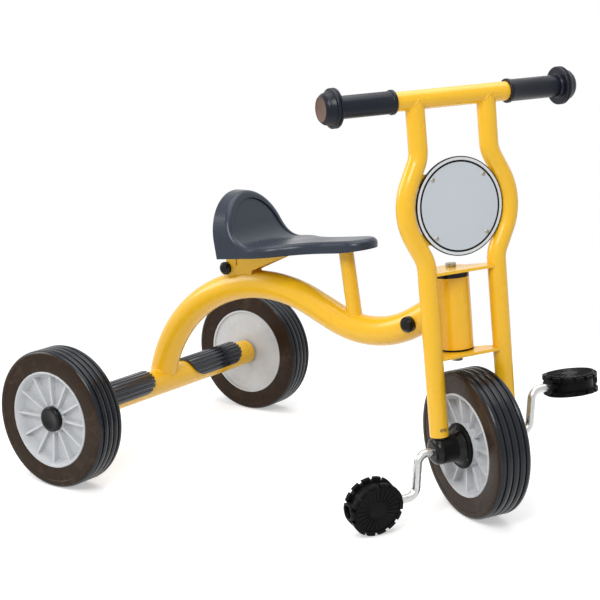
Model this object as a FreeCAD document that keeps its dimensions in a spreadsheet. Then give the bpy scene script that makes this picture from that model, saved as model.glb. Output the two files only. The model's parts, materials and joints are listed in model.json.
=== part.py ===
import FreeCAD, Part
import math
import os

import Sketcher
from FreeCAD import Placement, Rotation, Vector

# Children's pedal tricycle. Millimetres and degrees. The finished model has +X forward, +Y left and
# +Z up, with its origin on the floor under the middle of the whole machine.
# Frame pieces are drawn from the rear axle: x forward of it, z above the floor.
# Fork, front wheel, crank and pedals are drawn from the front axle: x forward, y left, z up the fork.

SIZES = {
    # Stance
    "wheelbase": 556.6,
    "origin_ahead_of_axle": 281.6,
    "steering_turn": -29.7,
    "rake": 5.3,
    "fork_offset": 29,
    # Wheels
    "wheel_radius": 100,
    "tyre_width": 47.6,
    "tyre_shoulder": 6,
    "rim_radius": 70,
    "rim_width": 46,
    "rim_mouth_radius": 67,
    "rim_floor_radius": 61,
    "rim_web_height": 9,
    "rim_back_height": 21,
    "rim_back_radius": 66.8,
    "rim_rib_count": 12,
    "rim_rib_width": 3.4,
    "rim_rib_inner_height": 15.5,
    "rim_rib_outer_height": 18.5,
    "rim_rib_root": 1,
    "rear_boss_radius": 20.5,
    "rear_boss_height": 14,
    "front_boss_radius": 29,
    "front_boss_height": 21.2,
    "fitted_gap": 0.1,
    "running_gap": 0.3,
    "bore_clearance": 0.05,
    # Rear axle
    "axle_radius": 6,
    "axle_tube_radius": 20,
    "axle_tube_wall": 2,
    "axle_tube_reach": 204,
    "axle_plug_depth": 12,
    "axle_plug_flange_radius": 15,
    "axle_plug_flange_width": 3.5,
    "axle_stub": 5,
    "hub_cap_radius": 18.3,
    "hub_cap_height": 8,
    "hub_cap_edge": 2,
    # Step pads
    "pad_start": 45,
    "pad_margin": 34,
    "pad_thickness": 4.5,
    "pad_drop": 4,
    "pad_corner_radius": 26,
    "pad_groove_count": 12,
    "pad_groove_radius": 1.6,
    "pad_groove_spread": 170,
    # Main tube
    "main_radius": 20.5,
    "main_wall": 2,
    "main_foot": -6,
    "hump_top": 273.4,
    "hump_radius": 211,
    "main_fall": 23.3,
    "main_rise": 31.8,
    "dip_radius": 138,
    "head_joint_height": 188,
    # Head tube, measured up the steering axis from the axle
    "head_bottom": 125.5,
    "head_top": 221,
    "head_radius": 23,
    "head_wall": 3,
    "upper_flange": 8.5,
    "lower_flange": 2.3,
    "bush_depth": 16,
    # Seat post and bracket
    "post_setback": 29.6,
    "post_lean": 9,
    "post_radius": 10.4,
    "post_wall": 2,
    "bracket_half_width": 13,
    "bracket_plate": 3,
    "bracket_back": 137,
    "bracket_length": 119,
    "bracket_back_rise": 49,
    "bracket_front_rise": 59.1,
    "bracket_tip": 5,
    "bracket_web_length": 47,
    "bracket_web_rise": 20.6,
    "bracket_slot_inset": 20,
    "bracket_slot_width": 3,
    "bracket_slot_depth": 22.5,
    "bracket_ear_radius": 8.5,
    "bracket_bolt_inset": 1,
    "bracket_bolt_drop": 28.4,
    "cap_bolt_radius": 4,
    "bracket_cap_radius": 9.5,
    "bracket_cap_height": 8,
    "frame_bolt_reach": 66.2,
    "frame_cap_radius": 10.8,
    "frame_cap_reach": 29.5,
    "frame_cap_depth": 15.5,
    # Seat shell
    "seat_wall": 4,
    "seat_setback": 10,
    "seat_length": 240,
    "seat_height": 91,
    "seat_rear_slant": 17,
    "seat_back_thickness": 21,
    "seat_back_rise": 50,
    "seat_back_lean": 21,
    "seat_pan_rise": 6.6,
    "seat_pan_curve": 36,
    "seat_nose_rise": 26.5,
    "seat_nose_depth": 14,
    "seat_keel_setback": 41,
    "seat_keel_drop": 21,
    "seat_half_width": 67,
    "seat_arch_drop": 66,
    "seat_arch_radius": 54,
    "seat_nose_half_width": 30,
    "seat_neck_setback": 65,
    "seat_neck_radius": 90,
    "seat_neck_turn": 38,
    "seat_hip_radius": 60,
    "seat_edge_radius": 8,
    "seat_recess_depth": 2.5,
    "seat_recess_border": 10,
    "seat_rib_inset": 31,
    "seat_rib_setback": 20,
    "seat_rib_half_spacing": 11,
    "seat_rib_thickness": 3,
    "seat_socket_wall": 3.5,
    "seat_socket_depth": 14,
    # Fork
    "leg_radius": 12.5,
    "leg_wall": 2,
    "leg_half_spacing": 52.65,
    "leg_bottom": 19,
    "bulge_reach": 24.6,
    "bulge_turn": 27,
    "bulge_radius": 80,
    "bulge_corner_radius": 40,
    "plate_height": 315.7,
    "bar_height": 455.8,
    "bar_radius": 12.5,
    "bar_wall": 2,
    "bar_half_length": 178,
    # Grips
    "grip_start": 83,
    "grip_ring_width": 5,
    "grip_ring_radius": 15.8,
    "grip_radius": 14.4,
    "grip_flange_start": 163,
    "grip_flange_radius": 25,
    "grip_flange_width": 8,
    "grip_flange_edge": 1.5,
    "grip_flange_groove": 1.3,
    "grip_dome_radius": 21.5,
    "grip_knob_start": 179.5,
    "grip_knob_radius": 19.5,
    "grip_end": 183.5,
    "grip_end_radius": 16.5,
    "grip_dish_radius": 13,
    "grip_dish_depth": 2,
    # Cross plates and king pin
    "cross_plate": 4,
    "cross_front": 9,
    "cross_back": 12,
    "cross_nose_radius": 21,
    "pin_radius": 5,
    "pin_head_radius": 7,
    "pin_head_height": 5,
    "pin_nut_radius": 7.5,
    "pin_nut_height": 11,
    # Number plate
    "plate_radius": 63.9,
    "plate_thickness": 3,
    "plate_front": 5.5,
    "plate_screw_offset": 37.6,
    "lug_inner": 30,
    "lug_half_width": 8,
    "lug_thickness": 3,
    # Front axle bearings, hub flanges, crank and pedals
    "bearing_radius": 18.6,
    "bearing_outer": 65.5,
    "bearing_flare": 6.5,
    "bearing_edge": 8.5,
    "bearing_stem": 62,
    "hub_flange_radius": 30.6,
    "hub_flange_outer": 26.8,
    "hub_flange_edge": 2.5,
    "crank_radius": 5.75,
    "crank_throw": 54,
    "crank_arm_start": 86,
    "crank_splay": 9.5,
    "crank_bend_radius": 14,
    "crank_end": 189,
    "pedal_centre": 157,
    "pedal_radius": 37,
    "pedal_half_height": 14,
    "pedal_face_fall": 2,
    "pedal_rim_edge": 1.5,
    "pedal_rim_inner": 7.5,
    "pedal_waist_inner": 6,
    "pedal_waist_radius": 31,
    "pedal_barrel_radius": 11,
    "pedal_barrel_reach": 37.5,
    "pedal_seat_reach": 21,
    "pedal_notch_count": 14,
    "pedal_notch_depth": 4,
    "pedal_notch_width": 4.6,
    "pedal_bore_clearance": 0.15,
    "right_pedal_tip": 104,
    "left_pedal_tip": -2,
    "washer_radius": 8.5,
    "washer_thickness": 2,
}

DOC = FreeCAD.newDocument("pedal_tricycle")
SHEET = DOC.addObject("Spreadsheet::Sheet", "sizes")
SUB_PARTS = []


class Size:
    """A number together with the spreadsheet formula that it comes from."""

    def __init__(self, number, formula):
        self.number = float(number)
        self.formula = formula

    def __add__(self, other):
        other = as_size(other)
        return Size(self.number + other.number, f"({self.formula} + {other.formula})")

    def __radd__(self, other):
        return as_size(other) + self

    def __sub__(self, other):
        other = as_size(other)
        return Size(self.number - other.number, f"({self.formula} - {other.formula})")

    def __rsub__(self, other):
        return as_size(other) - self

    def __mul__(self, other):
        other = as_size(other)
        return Size(self.number * other.number, f"({self.formula} * {other.formula})")

    def __rmul__(self, other):
        return as_size(other) * self

    def __truediv__(self, other):
        other = as_size(other)
        return Size(self.number / other.number, f"({self.formula} / {other.formula})")

    def __neg__(self):
        return as_size(-1) * self


def as_size(item):
    """Wrap a plain number, so that it joins a formula."""
    return item if isinstance(item, Size) else Size(item, f"{item:g}")


def sine(angle):
    return Size(math.sin(math.radians(angle.number)), f"sin({angle.formula})")


def cosine(angle):
    return Size(math.cos(math.radians(angle.number)), f"cos({angle.formula})")


def tangent(angle):
    return Size(math.tan(math.radians(angle.number)), f"tan({angle.formula})")


def root(size):
    return Size(math.sqrt(size.number), f"sqrt({size.formula})")


def fill_sheet():
    """Write every driving dimension to its own cell, and give back the named sizes."""
    for row, (alias, number) in enumerate(SIZES.items(), start=1):
        SHEET.set(f"A{row}", alias)
        SHEET.set(f"B{row}", str(number))
        SHEET.setAlias(f"B{row}", alias)
    DOC.recompute()
    return {alias: Size(SHEET.get(alias), f"sizes.{alias}") for alias in SIZES}


class Sizes:
    """The named sizes, each read as an attribute."""

    def __init__(self, named):
        self.__dict__.update(named)


S = Sizes(fill_sheet())

# The rear wheels run against the plugs in the axle tube's ends, and the step pads stop short of those
S.axle_plug_face = S.axle_tube_reach + S.fitted_gap + S.axle_plug_flange_width
S.half_track = S.axle_plug_face + S.running_gap + S.rim_back_height
S.pad_finish = S.axle_tube_reach - S.pad_margin

# The bracket stands on the main tube, the seat on the bracket, and the post under the seat's nose
S.bracket_front = S.bracket_back + S.bracket_length
S.bracket_web_front = S.bracket_back + S.bracket_web_length
S.bracket_back_top = S.hump_top + S.bracket_back_rise
S.bracket_front_top = S.hump_top + S.bracket_front_rise
S.bracket_web_top = S.hump_top + S.bracket_web_rise
S.bracket_slot = S.bracket_back + S.bracket_slot_inset
S.bracket_bolt_forward = S.bracket_back + S.bracket_bolt_inset
S.bracket_bolt_height = S.bracket_back_top - S.bracket_bolt_drop
S.seat_rear_top = S.bracket_back + S.seat_setback
S.seat_rear_bottom = S.seat_rear_top + S.seat_rear_slant
S.seat_back_top = S.seat_rear_top + S.seat_back_thickness
S.seat_nose_tip = S.seat_rear_top + S.seat_length
S.seat_keel_forward = S.seat_nose_tip - S.seat_keel_setback
S.seat_neck_start = S.seat_nose_tip - S.seat_neck_setback
S.seat_rib_back = S.seat_rear_top + S.seat_rib_inset
S.seat_rib_front = S.seat_nose_tip - S.seat_rib_setback
S.seat_nose_height = S.bracket_front_top + S.seat_nose_rise
S.seat_nose_bottom = S.seat_nose_height - S.seat_nose_depth
S.seat_keel_height = S.seat_nose_height - S.seat_keel_drop
S.seat_top = S.seat_nose_height + S.seat_back_rise
S.seat_rear_bottom_height = S.seat_top - S.seat_height
S.seat_arch_start = S.seat_top - S.seat_arch_drop
S.post_foot_forward = S.seat_nose_tip - S.post_setback


# Drawing helpers

def origin_plane(body, role):
    for feature in body.Origin.OriginFeatures:
        if feature.Role == role:
            return feature
    raise ValueError(role)


def new_body(label):
    body = DOC.addObject("PartDesign::Body", label)
    body.Label = label
    return body


def new_sketch(body, name, role, lift=None):
    """A sketch flat on one of the body's origin planes, or raised from it by a size."""
    sketch = body.newObject("Sketcher::SketchObject", name)
    sketch.AttachmentSupport = [(origin_plane(body, role), "")]
    sketch.MapMode = "FlatFace"
    if lift is not None:
        sketch.setExpression("AttachmentOffset.Base.z", as_size(lift).formula)
    return sketch


def place_point(sketch, edge, end, x, y):
    """Hold one point of a sketch at x, y from its origin."""
    for kind, size in (("DistanceX", as_size(x)), ("DistanceY", as_size(y))):
        number = sketch.addConstraint(Sketcher.Constraint(kind, -1, 1, edge, end, size.number))
        sketch.setExpression(f"Constraints[{number}]", size.formula)


def hold_radius(sketch, edge, radius):
    number = sketch.addConstraint(Sketcher.Constraint("Radius", edge, radius.number))
    sketch.setExpression(f"Constraints[{number}]", radius.formula)


def arc_between(start, end, radius, side):
    """The shorter arc from start to end. Its centre lies to the left for side +1."""
    chord = end - start
    middle = (start + end) * 0.5
    reach = math.sqrt(max(radius ** 2 - (chord.Length / 2) ** 2, 0.0))
    left = Vector(-chord.y, chord.x, 0).normalize()
    centre = middle + left * (reach * side)
    first, last = (start, end) if side > 0 else (end, start)
    angles = [math.atan2(point.y - centre.y, point.x - centre.x) for point in (first, last)]
    if angles[1] < angles[0]:
        angles[1] += 2 * math.pi
    circle = Part.Circle(centre, Vector(0, 0, 1), radius)
    return Part.ArcOfCircle(circle, angles[0], angles[1])


def draw_chain(sketch, points, closed):
    """Draw lines and arcs through points: (x, y), or (x, y, radius, side) where an arc leads there."""
    spots = [Vector(as_size(point[0]).number, as_size(point[1]).number, 0) for point in points]
    count = len(points) if closed else len(points) - 1
    joints = []
    for index in range(count):
        target = (index + 1) % len(points)
        start, end, lead = spots[index], spots[target], points[target]
        if len(lead) == 2:
            edge = sketch.addGeometry(Part.LineSegment(start, end))
            joints.append((edge, 1, 2))
            continue
        radius, side = as_size(lead[2]), lead[3]
        edge = sketch.addGeometry(arc_between(start, end, radius.number, side))
        joints.append((edge, 1, 2) if side > 0 else (edge, 2, 1))
    for index in range(count if closed else count - 1):
        edge, _, end = joints[index]
        following, start, _ = joints[(index + 1) % count]
        sketch.addConstraint(Sketcher.Constraint("Coincident", edge, end, following, start))
    for index, (edge, start, _) in enumerate(joints):
        place_point(sketch, edge, start, points[index][0], points[index][1])
    if not closed:
        place_point(sketch, joints[-1][0], joints[-1][2], points[-1][0], points[-1][1])
    for index in range(count):
        lead = points[(index + 1) % len(points)]
        if len(lead) > 2:
            hold_radius(sketch, joints[index][0], as_size(lead[2]))


def draw_circle(sketch, x, y, radius):
    centre = Vector(as_size(x).number, as_size(y).number, 0)
    edge = sketch.addGeometry(Part.Circle(centre, Vector(0, 0, 1), radius.number))
    place_point(sketch, edge, 3, x, y)
    hold_radius(sketch, edge, radius)


def draw_box(sketch, low_x, high_x, low_y, high_y):
    draw_chain(sketch, [(low_x, low_y), (high_x, low_y), (high_x, high_y), (low_x, high_y)], True)


def draw_rounded_box(sketch, low_x, high_x, low_y, high_y, radius):
    draw_chain(sketch, [
        (low_x + radius, low_y, radius, 1), (high_x - radius, low_y),
        (high_x, low_y + radius, radius, 1), (high_x, high_y - radius),
        (high_x - radius, high_y, radius, 1), (low_x + radius, high_y),
        (low_x, high_y - radius, radius, 1), (low_x, low_y + radius)], True)


def pad(body, sketch, length, both_ways=False, reverse=False):
    feature = body.newObject("PartDesign::Pad", sketch.Name + "_pad")
    feature.Profile = sketch
    feature.setExpression("Length", as_size(length).formula)
    feature.Midplane = both_ways
    feature.Reversed = reverse
    sketch.Visibility = False
    return feature


def pocket(body, sketch, length, both_ways=False, reverse=False):
    feature = body.newObject("PartDesign::Pocket", sketch.Name + "_pocket")
    feature.Profile = sketch
    feature.setExpression("Length", as_size(length).formula)
    feature.Midplane = both_ways
    feature.Reversed = reverse
    sketch.Visibility = False
    return feature


def revolve(body, sketch, axis):
    """Turn a sketch once round its own horizontal or vertical axis."""
    feature = body.newObject("PartDesign::Revolution", sketch.Name + "_turn")
    feature.Profile = sketch
    feature.ReferenceAxis = (sketch, [axis])
    feature.Angle = 360
    return feature


def sweep(body, profile, path):
    feature = body.newObject("PartDesign::AdditivePipe", path.Name + "_pipe")
    feature.Profile = profile
    feature.Spine = path
    return feature


def polar_copies(body, feature, sketch, axis, count, spread=360):
    pattern = body.newObject("PartDesign::PolarPattern", feature.Name + "_ring")
    pattern.Originals = [feature]
    pattern.Axis = (sketch, [axis])
    pattern.setExpression("Angle", as_size(spread).formula)
    pattern.setExpression("Occurrences", count.formula)
    body.Tip = pattern
    return pattern


def turned(label, points):
    """A body turned round its Y axis from (y, radius) points."""
    body = new_body(label)
    sketch = new_sketch(body, label + "_section", "YZ_Plane")
    draw_chain(sketch, points, True)
    revolve(body, sketch, "H_Axis")
    return body


def turned_upright(label, points):
    """A body turned round its Z axis from (radius, z) points."""
    body = new_body(label)
    sketch = new_sketch(body, label + "_section", "XZ_Plane")
    draw_chain(sketch, points, True)
    revolve(body, sketch, "V_Axis")
    return body


def cut(label, base, tools):
    """The base less its tools, as one object with its own label."""
    tool = tools[0]
    if len(tools) > 1:
        tool = DOC.addObject("Part::MultiFuse", label + "_tools")
        tool.Shapes = tools
    result = DOC.addObject("Part::Cut", label)
    result.Label = label
    result.Base = base
    result.Tool = tool
    return result


def common(label, pieces):
    result = DOC.addObject("Part::MultiCommon", label)
    result.Label = label
    result.Shapes = pieces
    return result


def fuse(label, pieces):
    result = DOC.addObject("Part::MultiFuse", label)
    result.Label = label
    result.Shapes = pieces
    return result


def rod_along_y(label, radius, x, z, reach):
    """A plain rod across the machine, centred on its middle plane."""
    rod = DOC.addObject("Part::Cylinder", label)
    rod.Label = label
    rod.setExpression("Radius", as_size(radius).formula)
    rod.setExpression("Height", (2 * reach).formula)
    rod.Placement = Placement(Vector(as_size(x).number, reach.number, as_size(z).number),
                              Rotation(Vector(1, 0, 0), 90))
    return rod


def keep(piece, placement):
    """Set a finished sub-part in its place and note it for export."""
    piece.Placement = placement.multiply(piece.Placement)
    SUB_PARTS.append(piece)


# Places of the two drawing frames

def tyre_drop():
    """How far the steered and raked front tyre reaches below its centre."""
    turn = math.radians(abs(S.steering_turn.number))
    lean = math.asin(math.sin(math.radians(S.rake.number)) * math.sin(turn))
    tread = S.tyre_width.number / 2 - S.tyre_shoulder.number
    return S.wheel_radius.number * math.cos(lean) + tread * math.sin(lean)


def steering_foot():
    """The point of the steering axis level with the front axle, from the rear axle and the floor."""
    rake = math.radians(S.rake.number)
    swing = S.fork_offset.number * math.sin(rake) * math.cos(math.radians(S.steering_turn.number))
    forward = S.wheelbase.number - S.fork_offset.number * math.cos(rake)
    return Vector(forward, 0, tyre_drop() - swing)


FRAME = Placement(Vector(-S.origin_ahead_of_axle.number, 0, 0), Rotation())
REAR_AXLE = FRAME.multiply(Placement(Vector(0, 0, S.wheel_radius.number), Rotation()))
HEAD = FRAME.multiply(Placement(steering_foot(), Rotation(Vector(0, 1, 0), -S.rake.number)))
FORK = HEAD.multiply(Placement(Vector(), Rotation(Vector(0, 0, 1), S.steering_turn.number))).multiply(
    Placement(Vector(S.fork_offset.number, 0, 0), Rotation()))
ABOUT_FACE = Rotation(Vector(0, 0, 1), 180)
RIGHT, LEFT = -1, 1


def side_name(side):
    return "right" if side == RIGHT else "left"


# Wheels: drawn with the wheel centre at the origin and the ribbed face towards -Y

def wheel_turn(side):
    return Rotation() if side == RIGHT else ABOUT_FACE


def tyre(label):
    """A solid tyre with bevelled shoulders."""
    half, bore = S.tyre_width / 2, S.rim_radius + S.fitted_gap
    tread, shoulder = half - S.tyre_shoulder, S.wheel_radius - S.tyre_shoulder
    return turned(label, [
        (-half, bore), (half, bore), (half, shoulder), (tread, S.wheel_radius),
        (-tread, S.wheel_radius), (-half, shoulder)])


def rim(label, bore_radius, boss_radius, boss_height):
    """A moulded rim: a flat back, and a dished face with ribs from a raised boss to the lip."""
    edge, web, root = S.rim_width / 2, S.rim_web_height, S.rim_rib_root
    body = turned(label, [
        (-boss_height, bore_radius), (S.rim_back_height, bore_radius),
        (S.rim_back_height, S.rim_back_radius), (edge, S.rim_back_radius), (edge, S.rim_radius),
        (-edge, S.rim_radius), (-edge, S.rim_mouth_radius), (-web, S.rim_floor_radius),
        (-web, boss_radius), (-boss_height, boss_radius)])
    rib = new_sketch(body, label + "_rib", "YZ_Plane")
    start, end = boss_radius - root, S.rim_mouth_radius - root
    draw_chain(rib, [
        (root - web, start), (root - web, S.rim_floor_radius), (-S.rim_rib_outer_height, end),
        (-S.rim_rib_inner_height, start)], True)
    feature = pad(body, rib, S.rim_rib_width, both_ways=True)
    polar_copies(body, feature, rib, "H_Axis", S.rim_rib_count)
    return body


def hub_cap(label):
    """A push-on cap over the end of the rear axle."""
    foot = S.rear_boss_height + S.running_gap
    top, bore = foot + S.hub_cap_height, S.axle_radius + S.bore_clearance
    return turned(label, [
        (-foot, bore), (-foot, S.hub_cap_radius), (S.hub_cap_edge - top, S.hub_cap_radius),
        (-top, S.hub_cap_radius - S.hub_cap_edge), (-top, 0),
        (-foot - S.axle_stub, 0), (-foot - S.axle_stub, bore)])


def build_rear_wheels():
    for side in (RIGHT, LEFT):
        name = side_name(side)
        place = REAR_AXLE.multiply(Placement(Vector(0, side * S.half_track.number, 0), wheel_turn(side)))
        keep(tyre(f"rear_tyre_{name}"), place)
        bore = S.axle_radius + S.bore_clearance
        keep(rim(f"rear_rim_{name}", bore, S.rear_boss_radius, S.rear_boss_height), place)
        keep(hub_cap(f"hub_cap_{name}"), place)


# Frame

def build_axle():
    reach = S.half_track + S.rear_boss_height + S.running_gap + S.axle_stub - S.fitted_gap
    keep(rod_along_y("rear_axle", S.axle_radius, 0, 0, reach), REAR_AXLE)

    tube = new_body("axle_tube")
    ring = new_sketch(tube, "axle_tube_ring", "XZ_Plane")
    draw_circle(ring, 0, 0, S.axle_tube_radius)
    draw_circle(ring, 0, 0, S.axle_tube_radius - S.axle_tube_wall)
    pad(tube, ring, 2 * S.axle_tube_reach, both_ways=True)
    keep(tube, REAR_AXLE)

    bore = S.axle_radius + S.bore_clearance
    fit = S.axle_tube_radius - S.axle_tube_wall - S.bore_clearance
    face, shoulder = S.axle_plug_face, S.axle_tube_reach + S.fitted_gap
    for side in (RIGHT, LEFT):
        plug = turned(f"axle_plug_{side_name(side)}", [
            (-face, bore), (-face, S.axle_plug_flange_radius), (-shoulder, S.axle_plug_flange_radius),
            (-shoulder, fit), (S.axle_plug_depth - shoulder, fit), (S.axle_plug_depth - shoulder, bore)])
        keep(plug, REAR_AXLE.multiply(Placement(Vector(), wheel_turn(side))))


def step_pad(label):
    """A rubber sleeve over the axle tube, open below and rounded at its corners."""
    sleeve = new_body(label + "_sleeve")
    inner = S.axle_tube_radius + S.fitted_gap
    outer = S.axle_tube_radius + S.pad_thickness
    ring = new_sketch(sleeve, label + "_ring", "XZ_Plane", S.pad_start)
    draw_circle(ring, 0, 0, outer)
    draw_circle(ring, 0, 0, inner)
    pad(sleeve, ring, S.pad_finish - S.pad_start)
    groove = new_sketch(sleeve, label + "_groove", "XZ_Plane", S.pad_start)
    half_spread = S.pad_groove_spread / 2
    draw_circle(groove, outer * sine(half_spread), outer * cosine(half_spread), S.pad_groove_radius)
    channel = pocket(sleeve, groove, S.pad_finish - S.pad_start, reverse=True)
    polar_copies(sleeve, channel, groove, "N_Axis", S.pad_groove_count, S.pad_groove_spread)
    outline = new_body(label + "_outline")
    face = new_sketch(outline, label + "_face", "YZ_Plane")
    draw_rounded_box(face, -S.pad_finish, -S.pad_start, -S.pad_drop,
                     outer + S.pad_corner_radius, S.pad_corner_radius)
    pad(outline, face, 2 * outer + 2 * S.pad_thickness, both_ways=True)
    return common(label, [sleeve, outline])


def build_step_pads():
    for side in (RIGHT, LEFT):
        place = REAR_AXLE.multiply(Placement(Vector(), wheel_turn(side)))
        keep(step_pad(f"step_pad_{side_name(side)}"), place)


def head_point(height):
    """A point of the steering axis, at a height up it, in the frame's own drawing."""
    return steering_foot() + Rotation(Vector(0, 1, 0), -S.rake.number).multVec(Vector(0, 0, height))


def hump_centre():
    """Centre of the main tube's rear arc, which crosses the axle's height at the tube's foot."""
    height = S.hump_top.number - S.hump_radius.number
    rise = S.wheel_radius.number - height
    return Vector(S.main_foot.number + math.sqrt(S.hump_radius.number ** 2 - rise ** 2), height, 0)


def head_joint():
    """Where the main tube's centre line meets the steering axis."""
    joint = head_point(S.head_joint_height.number)
    return Vector(joint.x, joint.z, 0)


def dip_centre():
    """Centre of the arc between the tube's fall from the hump and its rise to the head."""
    fall, rise = math.radians(S.main_fall.number), math.radians(S.main_rise.number)
    down, up = Vector(math.cos(fall), -math.sin(fall), 0), Vector(math.cos(rise), math.sin(rise), 0)
    crest = hump_centre() + Vector(math.sin(fall), math.cos(fall), 0) * S.hump_radius.number
    ahead = head_joint() - crest
    corner = crest + down * ((ahead.x * up.y - ahead.y * up.x) / (down.x * up.y - down.y * up.x))
    start = corner - down * (S.dip_radius.number * math.tan((fall + rise) / 2))
    return start + Vector(math.sin(fall), math.cos(fall), 0) * S.dip_radius.number


def draw_main_path(sketch):
    """Arc over the rear axle, straight down, arc through the dip and straight up to the head tube."""
    fall, rise = math.radians(S.main_fall.number), math.radians(S.main_rise.number)
    hump, dip, end = hump_centre(), dip_centre(), head_joint()
    fall_normal = Vector(math.sin(fall), math.cos(fall), 0)
    rise_normal = Vector(-math.sin(rise), math.cos(rise), 0)
    up = Vector(0, 0, 1)
    quarter = math.pi / 2
    crest = Part.Circle(hump, up, S.hump_radius.number)
    rear = sketch.addGeometry(Part.ArcOfCircle(crest, quarter - fall, math.pi))
    slope = sketch.addGeometry(Part.LineSegment(hump + fall_normal * S.hump_radius.number,
                                                dip - fall_normal * S.dip_radius.number))
    valley = Part.Circle(dip, up, S.dip_radius.number)
    low = sketch.addGeometry(Part.ArcOfCircle(valley, -quarter - fall, rise - quarter))
    ascent = sketch.addGeometry(Part.LineSegment(dip - rise_normal * S.dip_radius.number, end))
    place_point(sketch, rear, 3, hump.x, hump.y)
    hold_radius(sketch, rear, S.hump_radius)
    sketch.addConstraint(Sketcher.Constraint("Horizontal", rear, 3, rear, 2))
    place_point(sketch, low, 3, dip.x, dip.y)
    hold_radius(sketch, low, S.dip_radius)
    place_point(sketch, ascent, 2, end.x, end.y)
    sketch.addConstraint(Sketcher.Constraint("Tangent", rear, 1, slope, 1))
    sketch.addConstraint(Sketcher.Constraint("Tangent", slope, 2, low, 1))
    sketch.addConstraint(Sketcher.Constraint("Tangent", low, 2, ascent, 1))


def frame_bolt_spot():
    """Where the frame bolt crosses the tube's rise, at its reach behind the steering axis."""
    joint = head_joint()
    return (joint.x - S.frame_bolt_reach * cosine(S.main_rise),
            joint.y - S.frame_bolt_reach * sine(S.main_rise))


def main_sweep(label, radius):
    """The main tube's run as a full round bar."""
    body = new_body(label)
    path = new_sketch(body, label + "_path", "XZ_Plane")
    draw_main_path(path)
    section = new_sketch(body, label + "_round", "XY_Plane", S.hump_top - S.hump_radius)
    draw_circle(section, hump_centre().x - S.hump_radius, 0, radius)
    sweep(body, section, path)
    return body


def axle_cutter(label):
    """The axle tube's outside, with all that lies under its middle."""
    reach = 3 * S.main_radius
    body = new_body(label)
    sketch = new_sketch(body, label + "_face", "XZ_Plane")
    radius = S.axle_tube_radius + S.fitted_gap
    draw_chain(sketch, [
        (-reach, -reach), (reach, -reach), (reach, 0), (radius, 0),
        (0, radius, radius, 1), (-radius, 0, radius, 1), (-reach, 0)], True)
    pad(body, sketch, 2 * reach, both_ways=True)
    body.Placement = Placement(Vector(0, 0, S.wheel_radius.number), Rotation())
    return body


def head_cutter(label):
    """The head tube's outside and all that lies ahead of the steering axis."""
    reach = 2 * S.head_radius
    body = new_body(label)
    sketch = new_sketch(body, label + "_face", "XY_Plane", S.head_joint_height - reach * 2)
    radius = S.head_radius + S.fitted_gap
    draw_chain(sketch, [
        (0, -reach), (reach, -reach), (reach, reach), (0, reach), (0, radius),
        (-radius, 0, radius, 1), (0, -radius, radius, 1)], True)
    pad(body, sketch, reach * 4)
    body.Placement = Placement(steering_foot(), Rotation(Vector(0, 1, 0), -S.rake.number))
    return body


def build_main_tube():
    outer = main_sweep("main_tube_outside", S.main_radius)
    inner = main_sweep("main_tube_bore", S.main_radius - S.main_wall)
    forward, height = frame_bolt_spot()
    hole = rod_along_y("frame_bolt_hole", S.cap_bolt_radius + S.bore_clearance,
                       forward, height, 2 * S.main_radius)
    keep(cut("main_tube", outer, [inner, axle_cutter("foot_cope"), head_cutter("head_cope"), hole]), FRAME)


def build_head_tube():
    tube = new_body("head_tube")
    ring = new_sketch(tube, "head_tube_ring", "XY_Plane", S.head_bottom)
    draw_circle(ring, 0, 0, S.head_radius)
    draw_circle(ring, 0, 0, S.head_radius - S.head_wall)
    pad(tube, ring, S.head_top - S.head_bottom)
    keep(tube, HEAD)

    bore = S.pin_radius + S.bore_clearance
    sleeve = S.head_radius - S.head_wall - S.bore_clearance
    low, top = S.head_bottom - S.fitted_gap, S.head_top + S.fitted_gap
    keep(turned_upright("head_bush_upper", [
        (bore, top - S.bush_depth), (sleeve, top - S.bush_depth), (sleeve, top), (S.head_radius, top),
        (S.head_radius, top + S.upper_flange), (bore, top + S.upper_flange)]), HEAD)
    keep(turned_upright("head_bush_lower", [
        (bore, low - S.lower_flange), (S.head_radius, low - S.lower_flange), (S.head_radius, low),
        (sleeve, low), (sleeve, low + S.bush_depth), (bore, low + S.bush_depth)]), HEAD)


def post_place():
    """Foot of the seat post on the main tube's centre line, and its backward lean."""
    centre = dip_centre()
    step = S.post_foot_forward - centre.x
    foot = centre.y - root(S.dip_radius * S.dip_radius - step * step)
    return foot, Placement(Vector(S.post_foot_forward.number, 0, foot.number),
                           Rotation(Vector(0, 1, 0), -S.post_lean.number))


def post_length():
    """Length of the seat post, whose square end stops just under the roof of the seat."""
    slope = tangent(S.seat_pan_rise)
    roof = seat_line(S.post_foot_forward) - S.seat_wall - post_place()[0]
    corner = S.post_radius * (slope + tangent(S.post_lean))
    return roof / (cosine(S.post_lean) + slope * sine(S.post_lean)) - S.running_gap - corner


def build_seat_post(clearance_bar):
    post = new_body("seat_post_stock")
    ring = new_sketch(post, "seat_post_ring", "XY_Plane")
    draw_circle(ring, 0, 0, S.post_radius)
    draw_circle(ring, 0, 0, S.post_radius - S.post_wall)
    pad(post, ring, post_length())
    post.Placement = post_place()[1]
    keep(cut("seat_post", post, [clearance_bar]), FRAME)


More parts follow.
